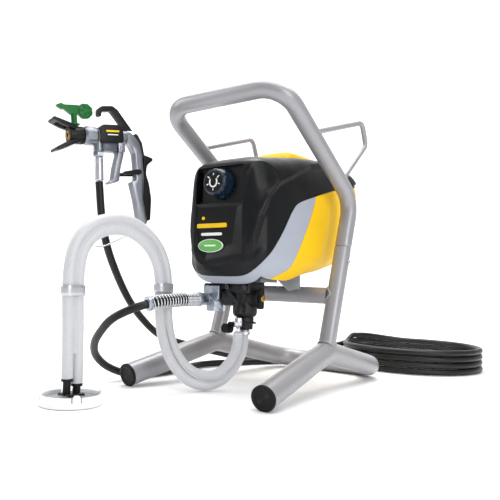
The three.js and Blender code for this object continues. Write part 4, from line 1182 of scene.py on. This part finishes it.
def add_rear_fittings():
    wall = 186
    bezel = slab(rectangle(-36.5, -3.5, 302.5, 337.5, 3), wall + 0.2, wall + 3.0, upright)
    frame_piece = build("power_switch_bezel", bezel, bevel=0.8)
    body = build("body", cuboid(-33.6, -6.4, wall - 12, wall + 1, 305.4, 334.6), bevel=0.5)
    pocket = build("pocket", cuboid(-31, -9, wall - 9, wall + 6, 308, 332), bevel=0.6)
    carve(frame_piece, add=[body], cut=[pocket], sharp=40)
    put(frame_piece, "power_switch_frame")
    outline = [(wall - 5, 320), (wall + 1.2, 309.5), (wall + 3.2, 310), (wall + 2.4, 320),
               (wall + 5, 328.6), (wall + 3.4, 329.8)]
    part("power_rocker", slab(outline, -30.4, -9.6, sideways), "power_switch_rocker", bevel=0.7, segments=3)
    ring = lathe([(1.6, 0), (2.4, 0), (2.4, 0.5), (1.6, 0.5)], (-20, wall + 3.5, 325), (0, 1, -0.25), 32,
                 closed=True)
    marks = combine(cuboid(-21, -19, wall + 2.7, wall + 3.2, 312, 317), ring)
    piece("rocker_marks", marks, "white_plastic", BODY_OF["power_switch_rocker"])

    def ribs(angle, r, h):
        return 1 - (0.05 if 5 < h < 13 and r > 5 and math.sin(angle * 10) > 0 else 0)

    profile = [(3.6, -8), (7.6, -8), (7.6, 0.3), (11, 0.3), (11, 3.6), (9.4, 5), (8.6, 9), (7.2, 14),
               (3.6, 14)]
    gland = turned(profile, 0.8, (24, wall, 318), (0, 1, 0), 80, closed=True, ripple=ribs)
    part("mains_gland", gland, "mains_inlet_gland")


add_badges()
add_knob()
add_rear_fittings()


# ---------- pump and fluid section ----------

PUMP_X, PUMP_Y = 14, -84
SPRING_RADIUS = 9.2


def bolt(name, point, direction, radius=4.2, height=4.0):
    """A socket-head bolt."""
    profile = [(0, -4), (radius * 0.6, -4), (radius * 0.6, 0), (radius, 0), (radius, height),
               (radius * 0.55, height), (radius * 0.5, height - 2.2), (0, height - 2.2)]
    piece(name, turned(profile, 0.5, point, direction, 36), "dark_steel")


def add_pump():
    x, y = PUMP_X, PUMP_Y
    column = turned([(0, 112), (15.5, 112), (19, 117), (19, 165.7), (0, 165.7)], 2, (x, y, 0), (0, 0, 1), 64)
    block = build("pump_casting", column)
    web = slab([(-102, 150), (-70, 150), (-72, 118), (-92, 112)], x - 15, x - 1, sideways)
    rib = slab([(x - 22, 148), (x + 8, 121), (x + 14, 126), (x - 12, 150)], y - 22.5, y - 15, upright)
    additions = [
        build("upper", cuboid(x - 24, x + 21, y - 20, y + 22, 148, 165.7), bevel=2.2, segments=3),
        bar_shape((-18, y - 12, 141), (x, y, 141), 13, 1.5, 44),
        build("web", web, bevel=2.0, segments=3),
        bar_shape((x, y - 3, 141), (x + 22, y - 3, 141), 12.4, 1.2, 44),
        bar_shape((20, y - 23, 115), (16, y - 12, 140), 7.2, 0.8, 36),
        build("rib", rib, bevel=1.6, segments=3),
    ]
    bores = [
        bar_shape((x, y, 108), (x, y, 220), 8.5, 0.3, 40),
        bar_shape((-60, y - 12, 141), (-17.7, y - 12, 141), 30, 0.3, 40),
        bar_shape((x + 15, y - 3, 141), (60, y - 3, 141), 4.6, 0.2, 32),
    ]
    carve(block, add=additions, cut=bores, sharp=32)
    put(block, "pump_block")
    for i, dx in enumerate((-18, 15)):
        bolt("pump_bolt_%d" % i, (x + dx, y - 14 - 6.2, 157), (0, -1, 0), 3.6)


def add_inlet_valve():
    x, y = PUMP_X, PUMP_Y

    def lugs(angle, r, h):
        if r > 14.5 and 8 < h < 12:
            return 1 + 0.10 * max(0.0, math.cos(angle * 5)) ** 3 - 0.06
        return 1.0

    profile = [(0, 0), (12.4, 0), (13.2, 1.4), (13.2, 8.6), (17.6, 9), (18.4, 9.8), (18.4, 11.4),
               (14.2, 12), (14.2, 18.4), (0, 18.4)]
    valve = build("inlet_valve_body", turned(profile, 0.7, (x, y, 93), (0, 0, 1), 120, ripple=lugs))
    carve(valve, cut=[bar_shape((-20, y, 99), (x - 6, y, 99), 4.3, 0.1)], sharp=35)
    put(valve, "inlet_valve_housing")
    head = turned([(0, -43), (4.6, -43), (7.6, -40), (7.6, -27), (6.4, -25), (0, -25)], 2.4, (x, y, 92),
                  (1, 0, 0), 48, steps=6)
    button = build("inlet_button", head)
    carve(button, add=[bar_shape((x - 30, y, 99), (x - 9, y, 99), 4, 0.5)], sharp=40)
    put(button, "inlet_pusher")


def add_relief_valve():
    x, y = PUMP_X + 22, PUMP_Y - 3
    stem = turned([(0, -6.5), (4.2, -6.5), (4.2, 12.4), (5, 12.6), (5, 14.6), (0, 14.6)], 0.5, (x, y, 141),
                  (1, 0, 0), 44)
    part("relief_stem", stem, "relief_valve_stem")

    def fins(angle, r, _):
        return 1 - (0.04 * (0.5 + 0.5 * math.cos(angle * 22)) if r > 11 else 0)

    wheel = turned([(4.5, 0.5), (12.9, 0.5), (13, 7.6), (11.6, 9.2), (4.5, 9.2)], 0.8, (x, y, 141), (1, 0, 0),
                   132, closed=True, ripple=fins)
    knob = build("relief_wheel", wheel)
    lever = slab(rectangle(y - 6, y + 6, 125, 157, 4.5), x + 6, x + 12.2, sideways)
    carve(knob, add=[build("lever", lever, bevel=1.0)],
          cut=[bar_shape((x - 5, y, 141), (x + 20, y, 141), 4.5, 0.1)], sharp=35)
    put(knob, "relief_knob")


def add_outlet():
    y = -96
    outline = [(-50, 138), (-44, 133.6), (-24, 133.6), (-18.3, 138), (-18.3, 162), (-50, 162)]
    body = build("outlet_casting", slab(outline, y - 14, y + 12, upright), bevel=1.4, segments=3)
    foot = hexagon((-34, y - 1, 118.8), (-34, y - 1, 136), 13.4)
    mouth = bar_shape((-38, y - 22, 137), (-38, y - 10, 137), 9.2, 1.0, 40)
    slope = slab([(y - 20, 170), (y - 20, 152), (y - 2, 170)], -60, -10, sideways)
    bore = bar_shape((-38, y - 40, 137), (-38, y - 6, 137), 4.2, 0.1)
    carve(body, add=[foot, mouth], cut=[slope, bore], sharp=30)
    put(body, "outlet_block")
    piece("outlet_plug", hexagon((-34, y - 3, 161.9), (-34, y - 3, 167.2), 7.2), "zinc_plate")
    nut = build("swaged_nut", hexagon((-38, -118.4, 137), (-38, -130.3, 137), 8.0))
    carve(nut, cut=[bar_shape((-38, -110, 137), (-38, -140, 137), 6.4, 0.1)], sharp=30)
    put(nut, "hose_nut")
    fitting = combine(hexagon((20, -107, 98.4), (20, -107, 111.4), 5.3),
                      bar_shape((20, -107, 90.3), (20, -107, 99), 3, 0.3, 28),
                      bar_shape((20, -107, 103.4), (20, -107, 106), 6.4, 0.8, 40))
    part("return_elbow", fitting, "return_fitting")


def add_spring_guard():
    """A wire spring over the hose end: close turns at the nut, open turns further out."""
    line = spline(PUMP_SIDE[:4], 0.5)
    lengths = lengths_along(line)
    line = line[lengths < 93]
    lengths = lengths[lengths < 93]
    _, side, up = frames_along(line)
    points = []
    along, turn, step = 1.0, 0.0, 1 / 22
    while along < lengths[-1] - 1:
        centre, s, u = (points_at(values, lengths, along) for values in (line, side, up))
        angle = 2 * math.pi * turn
        points.append(centre + SPRING_RADIUS * (math.cos(angle) * s + math.sin(angle) * u))
        along += (2.6 if along < 31 else 5.0) * step
        turn += step
    wire = part("spring_guard_wire", tube(points, 1.25, 8), "spring_guard", sharp=80)
    collar = turned([(6.2, 0), (10.7, 0), (11.0, 1.6), (10.7, 7), (6.2, 7)], 0.8, line[0] + (0, 1, 0),
                    line[14] - line[0], 48, closed=True)
    ring = turned([(6.3, 0), (10.6, 0), (10.8, 5), (9.4, 6.6), (6.3, 6.6)], 0.8, line[-1],
                  line[-1] - line[-14], 48, closed=True)
    near = piece("spring_guard_collar", collar, "zinc_plate")
    return [wire, near, piece("spring_guard_end", ring, "zinc_plate")]


add_pump()
add_inlet_valve()
add_relief_valve()
add_outlet()
GUARD = add_spring_guard()


# ---------- suction set ----------

def add_strainer():
    x, y = PAIR_ROUTE[0][:2]
    profile = [(36.1, 0.3), (39.4, 0.3), (39.8, 2), (39.8, 13), (38.7, 14.2), (37.1, 14.2), (36.1, 13)]
    ring = build("strainer_rim", turned(profile, 0.6, (x, y, 0), (0, 0, 1), 120, closed=True))
    tab = slab([(-5, 1), (5, 1), (4.2, 15.5), (2.6, 17.4), (-2.6, 17.4), (-4.2, 15.5)], 36.3, 39.9, sideways)
    for angle in (63, 153, 243, 333):
        turn = turn_by(angle, "Z")
        for side in (-1, 1):
            slot = cuboid(34, 42, side * 5.8 - 0.9, side * 5.8 + 0.9, 8, 16)
            carve(ring, cut=[moved(slot, turn, (x, y, 0))])
        carve(ring, add=[build("tab", moved(tab, turn, (x, y, 0)), bevel=0.5)])
    put(ring, "strainer_ring")
    rise = turned([(0.2, 7), (35.6, 7), (35.6, 9), (24, 9.8), (13, 12), (0.2, 12)], 0.8, (x, y, 0),
                  (0, 0, 1), 96)
    part("strainer_mesh", rise, "strainer_screen", "woven")
    piece("strainer_saddle", cuboid(x - 13, x + 13, y - 12, y + 12, 9.4, 14.2), "charcoal_plastic",
          bevel=1.4, segments=3)
    for i, (px, py, pz) in enumerate((beside_pair(-1)[0], beside_pair(1)[0])):
        low = pz - (8 if i == 0 else 0)
        stub = bar_shape((px, py, 12), (px, py, low + 26), 5.0, 0.6, 32)
        flange = bar_shape((px, py, low - 4.2), (px, py, low - 0.4), 7.4, 0.9, 40)
        piece("strainer_pipe_%d" % i, combine(stub, flange), "charcoal_plastic")


def clip(node, index, name):
    """A sprung band round both tubes."""
    section = ((8.2, -6.2), (8.4, -6.7), (9.2, -6.7), (9.5, -6.2), (9.3, -1.8), (9.3, 1.8), (9.5, 6.2),
               (9.2, 6.7), (8.4, 6.7), (8.2, 6.2))
    rings = []
    for over, start in ((PAIR_SPACING / 2, -math.pi / 2), (-PAIR_SPACING / 2, math.pi / 2)):
        centre = np.array(PAIR_ROUTE[index]) + np.array([0, over, 0])
        for a in np.linspace(start, start + math.pi, 25):
            direction = np.array([-math.sin(a), math.cos(a), 0])
            rings.append(np.array([centre + direction * r + np.array([0, 0, h]) for r, h in section]))
    return part(name, skin(rings, loop=True), node, "satin_nickel", sharp=40)


def add_clips():
    top = clip("strainer_tube_clip", 2, "strainer_clip_band")
    low = clip("pump_tube_clip", 13, "pump_clip_band")
    collar = turned([(8.3, 0), (9.3, 0), (9.3, 6.6), (8.3, 6.6)], 0.35, (14, -84.2, 85.2), (0, 0, 1), 72,
                    closed=True)
    screw = bar_shape((19.8, -93.6, 88.4), (6.5, -94.8, 88.4), 2.6, 0.6, 24)
    box = cuboid(8.5, 17.5, -96.4, -91.6, 85.6, 91.4)
    return top, low, part("worm_clamp", combine(collar, screw, box), "suction_hose_clamp")


add_strainer()
CLIPS = add_clips()


# ---------- spray gun, in its own axes: +X sprays, the origin is the top of the hose fitting ----------

STEM_X = 35.5
TIP_KNOB = (18, 0, 72.5)
WING = [(38, 7), (56, 13), (71, 21), (70, 25), (54, 19.5), (37, 13)]


def gun_part(name, shape, node, look=None, **form):
    return part(name, in_gun(shape), node, look, **form)


def gun_tool(shape, bevel=0.0, segments=2):
    return build("tool", in_gun(shape), bevel=bevel, segments=segments)


def gun_extra(name, shape, look, body="machine", bevel=0.0):
    piece(name, in_gun(shape), look, body, bevel=bevel)


def on_barrel(shape):
    """Tilts a shape of the barrel group nose down about the barrel's root."""
    turn = np.array(Matrix.Rotation(BARREL_PITCH, 3, "Y"))
    return moved((shape[0] - BARREL_ROOT, shape[1]), turn, BARREL_ROOT)


def barrel_tool(shape, bevel=0.0, segments=2):
    return gun_tool(on_barrel(shape), bevel, segments)


def add_gun_casting():
    arch = outline_of([
        (-36.3, 43), (-49, 42.4), (-58, 35.2), (-64.8, 25), (-68.6, 9), (-71.6, -30), (-69.5, -64),
        (-76, -98), (-74, -104), (-63, -100), (-57.5, -64), (-51.5, -39), (-51.5, -36), (-59, -33),
        (-59, -14), (-57, 10), (-51, 22), (-44, 28), (-36.3, 28),
    ], 3)
    casting = build("gun_frame", in_gun(slab(arch, -9.4, 9.4, upright)), bevel=2.6, segments=2)
    additions = [
        barrel_tool(bar_shape((-45, 0, BARREL_Z), (2.4, 0, BARREL_Z), 12, 1.5, 48)),
        gun_tool(bar_shape((0, 0, 8.3), (0, 0, 30), 8, 0.8, 40)),
        gun_tool(cuboid(-26, -4, -8.5, 8.5, 10, 26), 2.0, 3),
        gun_tool(cuboid(-39, -28, 9.4, 11.8, 9, 30), 0.7),
        gun_tool(cuboid(-39, -28, -11.8, -9.4, 9, 30), 0.7),
        barrel_tool(bar_shape((0, 0, BARREL_Z), (20, 0, BARREL_Z), 8, 0.6, 40)),
    ]
    panel = outline_of([(-60.5, 18), (-66, 6), (-67, -30), (-65.5, -58), (-61, -60), (-58, -40), (-62, -34),
                        (-61.5, -8), (-59, 12)], 3)
    holes = [bar_shape((-62, -20, -20), (-62, 20, -20), 2.6, 0.1),
             bar_shape((-33, -20, 14), (-33, 20, 14), 2.2, 0.1)]
    carve(casting, add=additions, cut=[gun_tool(t) for t in holes + both_sides(panel, 9.2, 14)], sharp=32)
    put(casting, "gun_casting")
    ribs = []
    for z in np.arange(5) * 8.5 - 46:
        rib = outline_of([(-65.4, z), (-61.4, z + 1.5), (-61.4, z + 3.3), (-65.4, z + 1.8)], 0.5)
        ribs.extend(both_sides(rib, 8.9, 9.9))
    gun_extra("handle_ribs", combine(*ribs), "cast_alloy")


def add_gun_cover():
    block = outline_of([(-36, 24), (1, 24), (1, 47), (-4, 51), (-30, 51), (-36, 46)], 3.5)
    block = in_gun(on_barrel(slab(block, -15, 15, upright)))
    cover = build("gun_cover_moulded", block, bevel=3.0, segments=4)
    hook = outline_of([
        (-30, 51), (-30, 46.5), (-36, 45.6), (-50, 45.2), (-54, 47), (-30, 77), (-22, 82), (-4, 79.5),
        (2.5, 74), (2.5, 64), (-3, 62.5), (-4, 71), (-19, 73.5), (-34, 55), (-30, 53),
    ], 2.5)
    strap = outline_of([
        (-30, 49), (-50.5, 47), (-62, 39.4), (-69, 27.5), (-72.4, 9), (-72.8, 3), (-69.6, 3), (-68.4, 9),
        (-64.6, 25), (-57.8, 35), (-48.8, 42.2), (-30, 42.6),
    ], 1.2)
    room = [
        barrel_tool(bar_shape((-60, 0, BARREL_Z), (20, 0, BARREL_Z), 12.3, 0.1, 48)),
        gun_tool(bar_shape((0, 0, 0), (0, 0, 30), 8.3, 0.1, 40)),
        gun_tool(cuboid(-26.3, -3.7, -8.8, 8.8, 0, 27)),
        gun_tool(cuboid(-39.3, -27.7, -12.1, 12.1, 0, 31)),
    ]
    hanger = gun_tool(slab(hook, -5, 5, upright), 1.3, 3)
    strap = gun_tool(slab(strap, -9.2, 9.2, upright), 1.0, 3)
    carve(cover, add=[hanger, strap], cut=room, sharp=32)
    put(cover, "gun_cover")
    gun_extra("valve_housing", cuboid(-27.4, -3.4, -9.4, 9.4, 9.4, 24), "slate_plastic", bevel=2.4)
    upper = both_sides(rectangle(-29, -8, 39.5, 42.3, 0.9, 5), 14.7, 15.35)
    lower = both_sides(rectangle(-27, -10, 34.6, 36.2, 0.9, 5), 14.7, 15.35)
    for word, top_bar, low_bar in zip(("near", "far"), upper, lower):
        gun_extra("cover_bar_upper_" + word, on_barrel(top_bar), "yellow_plastic")
        gun_extra("cover_bar_lower_" + word, on_barrel(low_bar), "white_plastic")


def add_gun_grip():
    grip = outline_of([
        (-71, 9), (-87, 4), (-87, 0), (-77, -8), (-75, -22), (-80, -38), (-83.5, -62), (-81, -96),
        (-76.9, -98), (-70.4, -64), (-72.3, -30),
    ], 4)
    gun_part("rear_grip", slab(grip, -9.5, 9.5, upright), "gun_grip_cover", bevel=2.4, segments=4)


def add_trigger():
    lever = outline_of([
        (-30, 19), (-38, 17), (-37.5, 6), (-31, -20), (-29.5, -36), (-24, -39), (-14, -42),
        (-12.5, -38.5), (-20, -34.5), (-23, -15), (-28.5, 6),
    ], 3)
    trigger = build("trigger_lever", in_gun(slab(lever, -9, 9, upright)), bevel=2.0, segments=4)
    grooves = [bar_shape((x, -12, z), (x, 12, z), 1.2, 0.1, 20)
               for x, z in ((-23.2, -10), (-21.6, -18), (-20, -26))]
    pivot = bar_shape((-33, -20, 14), (-33, 20, 14), 2.1, 0.1)
    carve(trigger, cut=[gun_tool(shape) for shape in [pivot] + grooves], sharp=32)
    put(trigger, "gun_trigger")
    gun_part("pivot_pin", bar_shape((-33, -12.4, 14), (-33, 12.4, 14), 1.8, 0.5, 28), "trigger_pin")
    prong = outline_of([(-66, -23), (-60, -24.5), (-37, -26), (-34.5, -23), (-37, -21), (-60, -16),
                        (-66, -17)], 2)
    axle = bar_shape((-62, -11.5, -20), (-62, 11.5, -20), 2.2, 0.2, 28)
    gun_part("lock_lever", combine(*both_sides(prong, 10.4, 12.6), axle), "trigger_lock", bevel=0.5)


def add_retaining_nut():
    def grip(angle, r, h):
        if r > 13 and 2.5 < h < 16.5:
            return 1 - 0.06 * max(0.0, math.cos(angle * 8)) ** 2
        return 1.0

    profile = [(8.6, 0), (12.6, 0), (14.7, 2.4), (14.7, 16.6), (13.0, 20.6), (8.6, 21)]
    ring = turned(profile, 0.9, (2.9, 0, BARREL_Z), (1, 0, 0), 128, closed=True, ripple=grip)
    gun_part("knurled_nut", on_barrel(ring), "retaining_nut", sharp=30)


def add_tip_guard():
    hub = bar_shape((24.4, 0, BARREL_Z), (47, 0, BARREL_Z), 13.6, 2.0, 56)
    hub = build("guard_hub", in_gun(on_barrel(hub)))
    for up in (1, -1):
        wing = outline_of([(x, BARREL_Z + up * z) for x, z in WING], 2.2)
        low, high = sorted((BARREL_Z + up * 10, BARREL_Z + up * 28))
        carve(hub, add=[barrel_tool(slab(wing, -14, 14, upright), 1.4, 3)],
              cut=[barrel_tool(cuboid(48, 65, -8.5, 8.5, low, high), 1.0)])
    notch = cuboid(25.5, 30.5, -1.7, 1.7, 12.2, 16)
    cuts = [barrel_tool(moved(notch, turn_by(angle + 22.5, "X"), (0, 0, BARREL_Z)), 0.4)
            for angle in range(0, 360, 45)]
    cuts.append(barrel_tool(bar_shape((STEM_X, 0, BARREL_Z - 9.6), (STEM_X, 0, BARREL_Z + 30), 6.0, 0.1, 40)))
    cuts.append(barrel_tool(bar_shape((STEM_X, 0, BARREL_Z), (60, 0, BARREL_Z), 4, 0.1, 32)))
    carve(hub, cut=cuts, sharp=32)
    put(hub, "tip_guard")
    jet = bar_shape((STEM_X + 4.4, 0, BARREL_Z), (STEM_X + 8.2, 0, BARREL_Z), 3.4, 0.6, 32)
    rim = turned([(3.9, 0), (7.2, 0), (6.4, 1.3), (3.9, 1.3)], 0.3, (46.6, 0, BARREL_Z), (1, 0, 0), 44,
                 closed=True)
    gun_extra("brass_orifice", on_barrel(combine(jet, rim)), "brass", BODY_OF["tip_guard"])


def add_tip():
    arrow = outline_of([
        (62, 79.5), (54, 83), (50, 80.5), (29, 81), (22, 78), (22, 67), (40, 66), (50, 74), (54, 73.5),
    ], 1.8)
    handle = build("tip_handle", in_gun(on_barrel(slab(arrow, -3.5, 3.5, upright))), bevel=1.2, segments=3)

    def lobes(angle, r, _):
        return 1 - (0.06 * max(0.0, math.cos(angle * 8)) if r > 9 else 0)

    knob = turned([(0, -5), (10.6, -5), (11.8, -3.6), (11.8, 3.6), (10.6, 5), (0, 5)], 0.8, TIP_KNOB,
                  (0, 1, 0), 96, ripple=lobes)
    shapes = [bar_shape((STEM_X, 0, BARREL_Z - 9), (STEM_X, 0, 50), 5.6, 0.6, 40),
              bar_shape((STEM_X, 0, 49), (STEM_X, 0, 68), 4.6, 0.2, 36),
              bar_shape((STEM_X, 0, 50.4), (STEM_X, 0, 52.6), 8, 0.7, 44), knob]
    carve(handle, add=[barrel_tool(shape) for shape in shapes], sharp=30)
    slots = []
    for side in (-1, 1):
        slot = cuboid(3.4, 9.6, side * 5 - 1.3, side * 5 + 1.3, -1.1, 1.1)
        slots.extend(barrel_tool(moved(slot, turn_by(k * 72, "Y"), TIP_KNOB), 0.4) for k in range(5))
    carve(handle, cut=slots, sharp=30)
    put(handle, "spray_tip")


def add_gun_fittings():
    nut = gun_part("swivel_nut", hexagon((0, 0, 0.3), (0, 0, 8), 7.6), "gun_swivel_nut")
    profile = [(0, -37), (6.3, -37), (6.9, -35.5), (6.9, -9), (6.5, -8.4), (6.9, -7.8), (6.9, -3), (6.2, 0),
               (0, 0)]
    ferrule = gun_part("crimped_ferrule", turned(profile, 0.6, (0, 0, 0), (0, 0, 1), 56), "hose_ferrule",
                       "satin_nickel")
    line = spline([
        (-73, 0, -105.8), (-60, 0, -114), (-34, 0, -126), (-19, 3, -132), (-12, 9, -135),
        (-3, 11, -138), (6, 7, -139), (9, 0, -139), (6, -7, -139), (-3, -10.5, -138),
    ], 1.2)
    gun_part("holder_wire", tube(line, smooth_end(line, 1.3, 1.2), 12), "hose_holder", sharp=70)
    return [ferrule, nut]


add_gun_casting()
add_gun_cover()
add_gun_grip()
add_trigger()
add_retaining_nut()
add_tip_guard()
add_tip()
GUN_FITTINGS = add_gun_fittings()


# ---------- the cords' start points, lengths and paths, worked out and not kept ---

def declare_cords():
    list(at((-38, -131.2, 137)))
    length_of(HOSE_ROUTE) / 1000
    path_of(resample(HOSE_ROUTE, 12))
    pipes = [bpy.data.objects["strainer_pipe_%d" % i] for i in (0, 1)]
    for (obj, route), ends in ((SUCTION, [pipes[0], WEB, *CLIPS]), (BACK, [pipes[1]])):
        list(at(route[0]))
        length_of(route) / 1000
        path_of(resample(route, 8))
        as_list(ends)


declare_cords()


# ---------- internal pieces keep their shape and get their wear ----------

def dress_hidden_nodes():
    """The nodes' own meshes take their looks too, where no piece stands for them."""
    for name, look in SLOT_OF.items():
        node = bpy.data.objects.get(name)
        if node is not None and node.type == "MESH":
            wear(node, look)


dress_hidden_nodes()


# ---------- floor and light ----------

def add_floor():
    """A floor that sweeps up into a backdrop, facing the camera."""
    mesh = bpy.data.meshes.new("studio_floor")
    sweep = [(1.9 + 0.9 * math.sin(a), 0.9 - 0.9 * math.cos(a)) for a in np.linspace(0, math.pi / 2, 14)]
    rings = [(-2.5, 0)] + sweep + [(2.8, 3.4)]
    vertices, faces = [], []
    turn = Matrix.Rotation(math.radians(CAMERA_TURN[0]), 3, "Z")
    for y, z in rings:
        for x in (-4.5, 4.5):
            p = turn @ Vector((x, y, z))
            vertices.append((p.x, p.y, p.z - 0.0004))
    for i in range(len(rings) - 1):
        faces.append((2 * i, 2 * i + 1, 2 * i + 3, 2 * i + 2))
    mesh.from_pydata(vertices, [], faces)
    mesh.polygons.foreach_set("use_smooth", [True] * len(faces))
    floor = bpy.data.objects.new("studio_floor", mesh)
    bpy.context.scene.collection.objects.link(floor)
    material = finish_material("studio_paper", (0.93, 0.93, 0.935), 0.6, vary=0.004, patch=0.6,
                               grain=0.004, bump=0.004)
    mesh.materials.append(material)


def area(name, place, toward, width, height, power):
    data = bpy.data.lights.new(name, "AREA")
    data.shape = "RECTANGLE"
    data.size = width
    data.size_y = height
    data.energy = power
    light = bpy.data.objects.new(name, data)
    light.location = place
    aim = Vector(toward) - Vector(place)
    light.rotation_euler = aim.to_track_quat("-Z", "Y").to_euler()
    bpy.context.scene.collection.objects.link(light)


def add_light():
    world = bpy.data.worlds.new("studio")
    world.use_nodes = True
    sky = world.node_tree.nodes["Background"]
    sky.inputs["Color"].default_value = (1, 1, 1, 1)
    sky.inputs["Strength"].default_value = 0.42
    bpy.context.scene.world = world
    area("top", (0.1, 0.1, 2.3), (0.05, 0.1, 0.2), 2.4, 2.4, 62)
    area("right", (2.1, -0.7, 1.0), (0.0, 0.0, 0.25), 0.9, 1.5, 20)
    area("left", (-1.7, -1.1, 1.2), (0.0, 0.0, 0.2), 0.7, 1.5, 15)
    area("backdrop", (-0.6, 0.9, 2.6), (-1.3, 2.2, 0.5), 2.4, 1.0, 55)
    view = bpy.context.scene.view_settings
    view.view_transform = "Standard"
    view.exposure = 0.0


add_floor()
add_light()
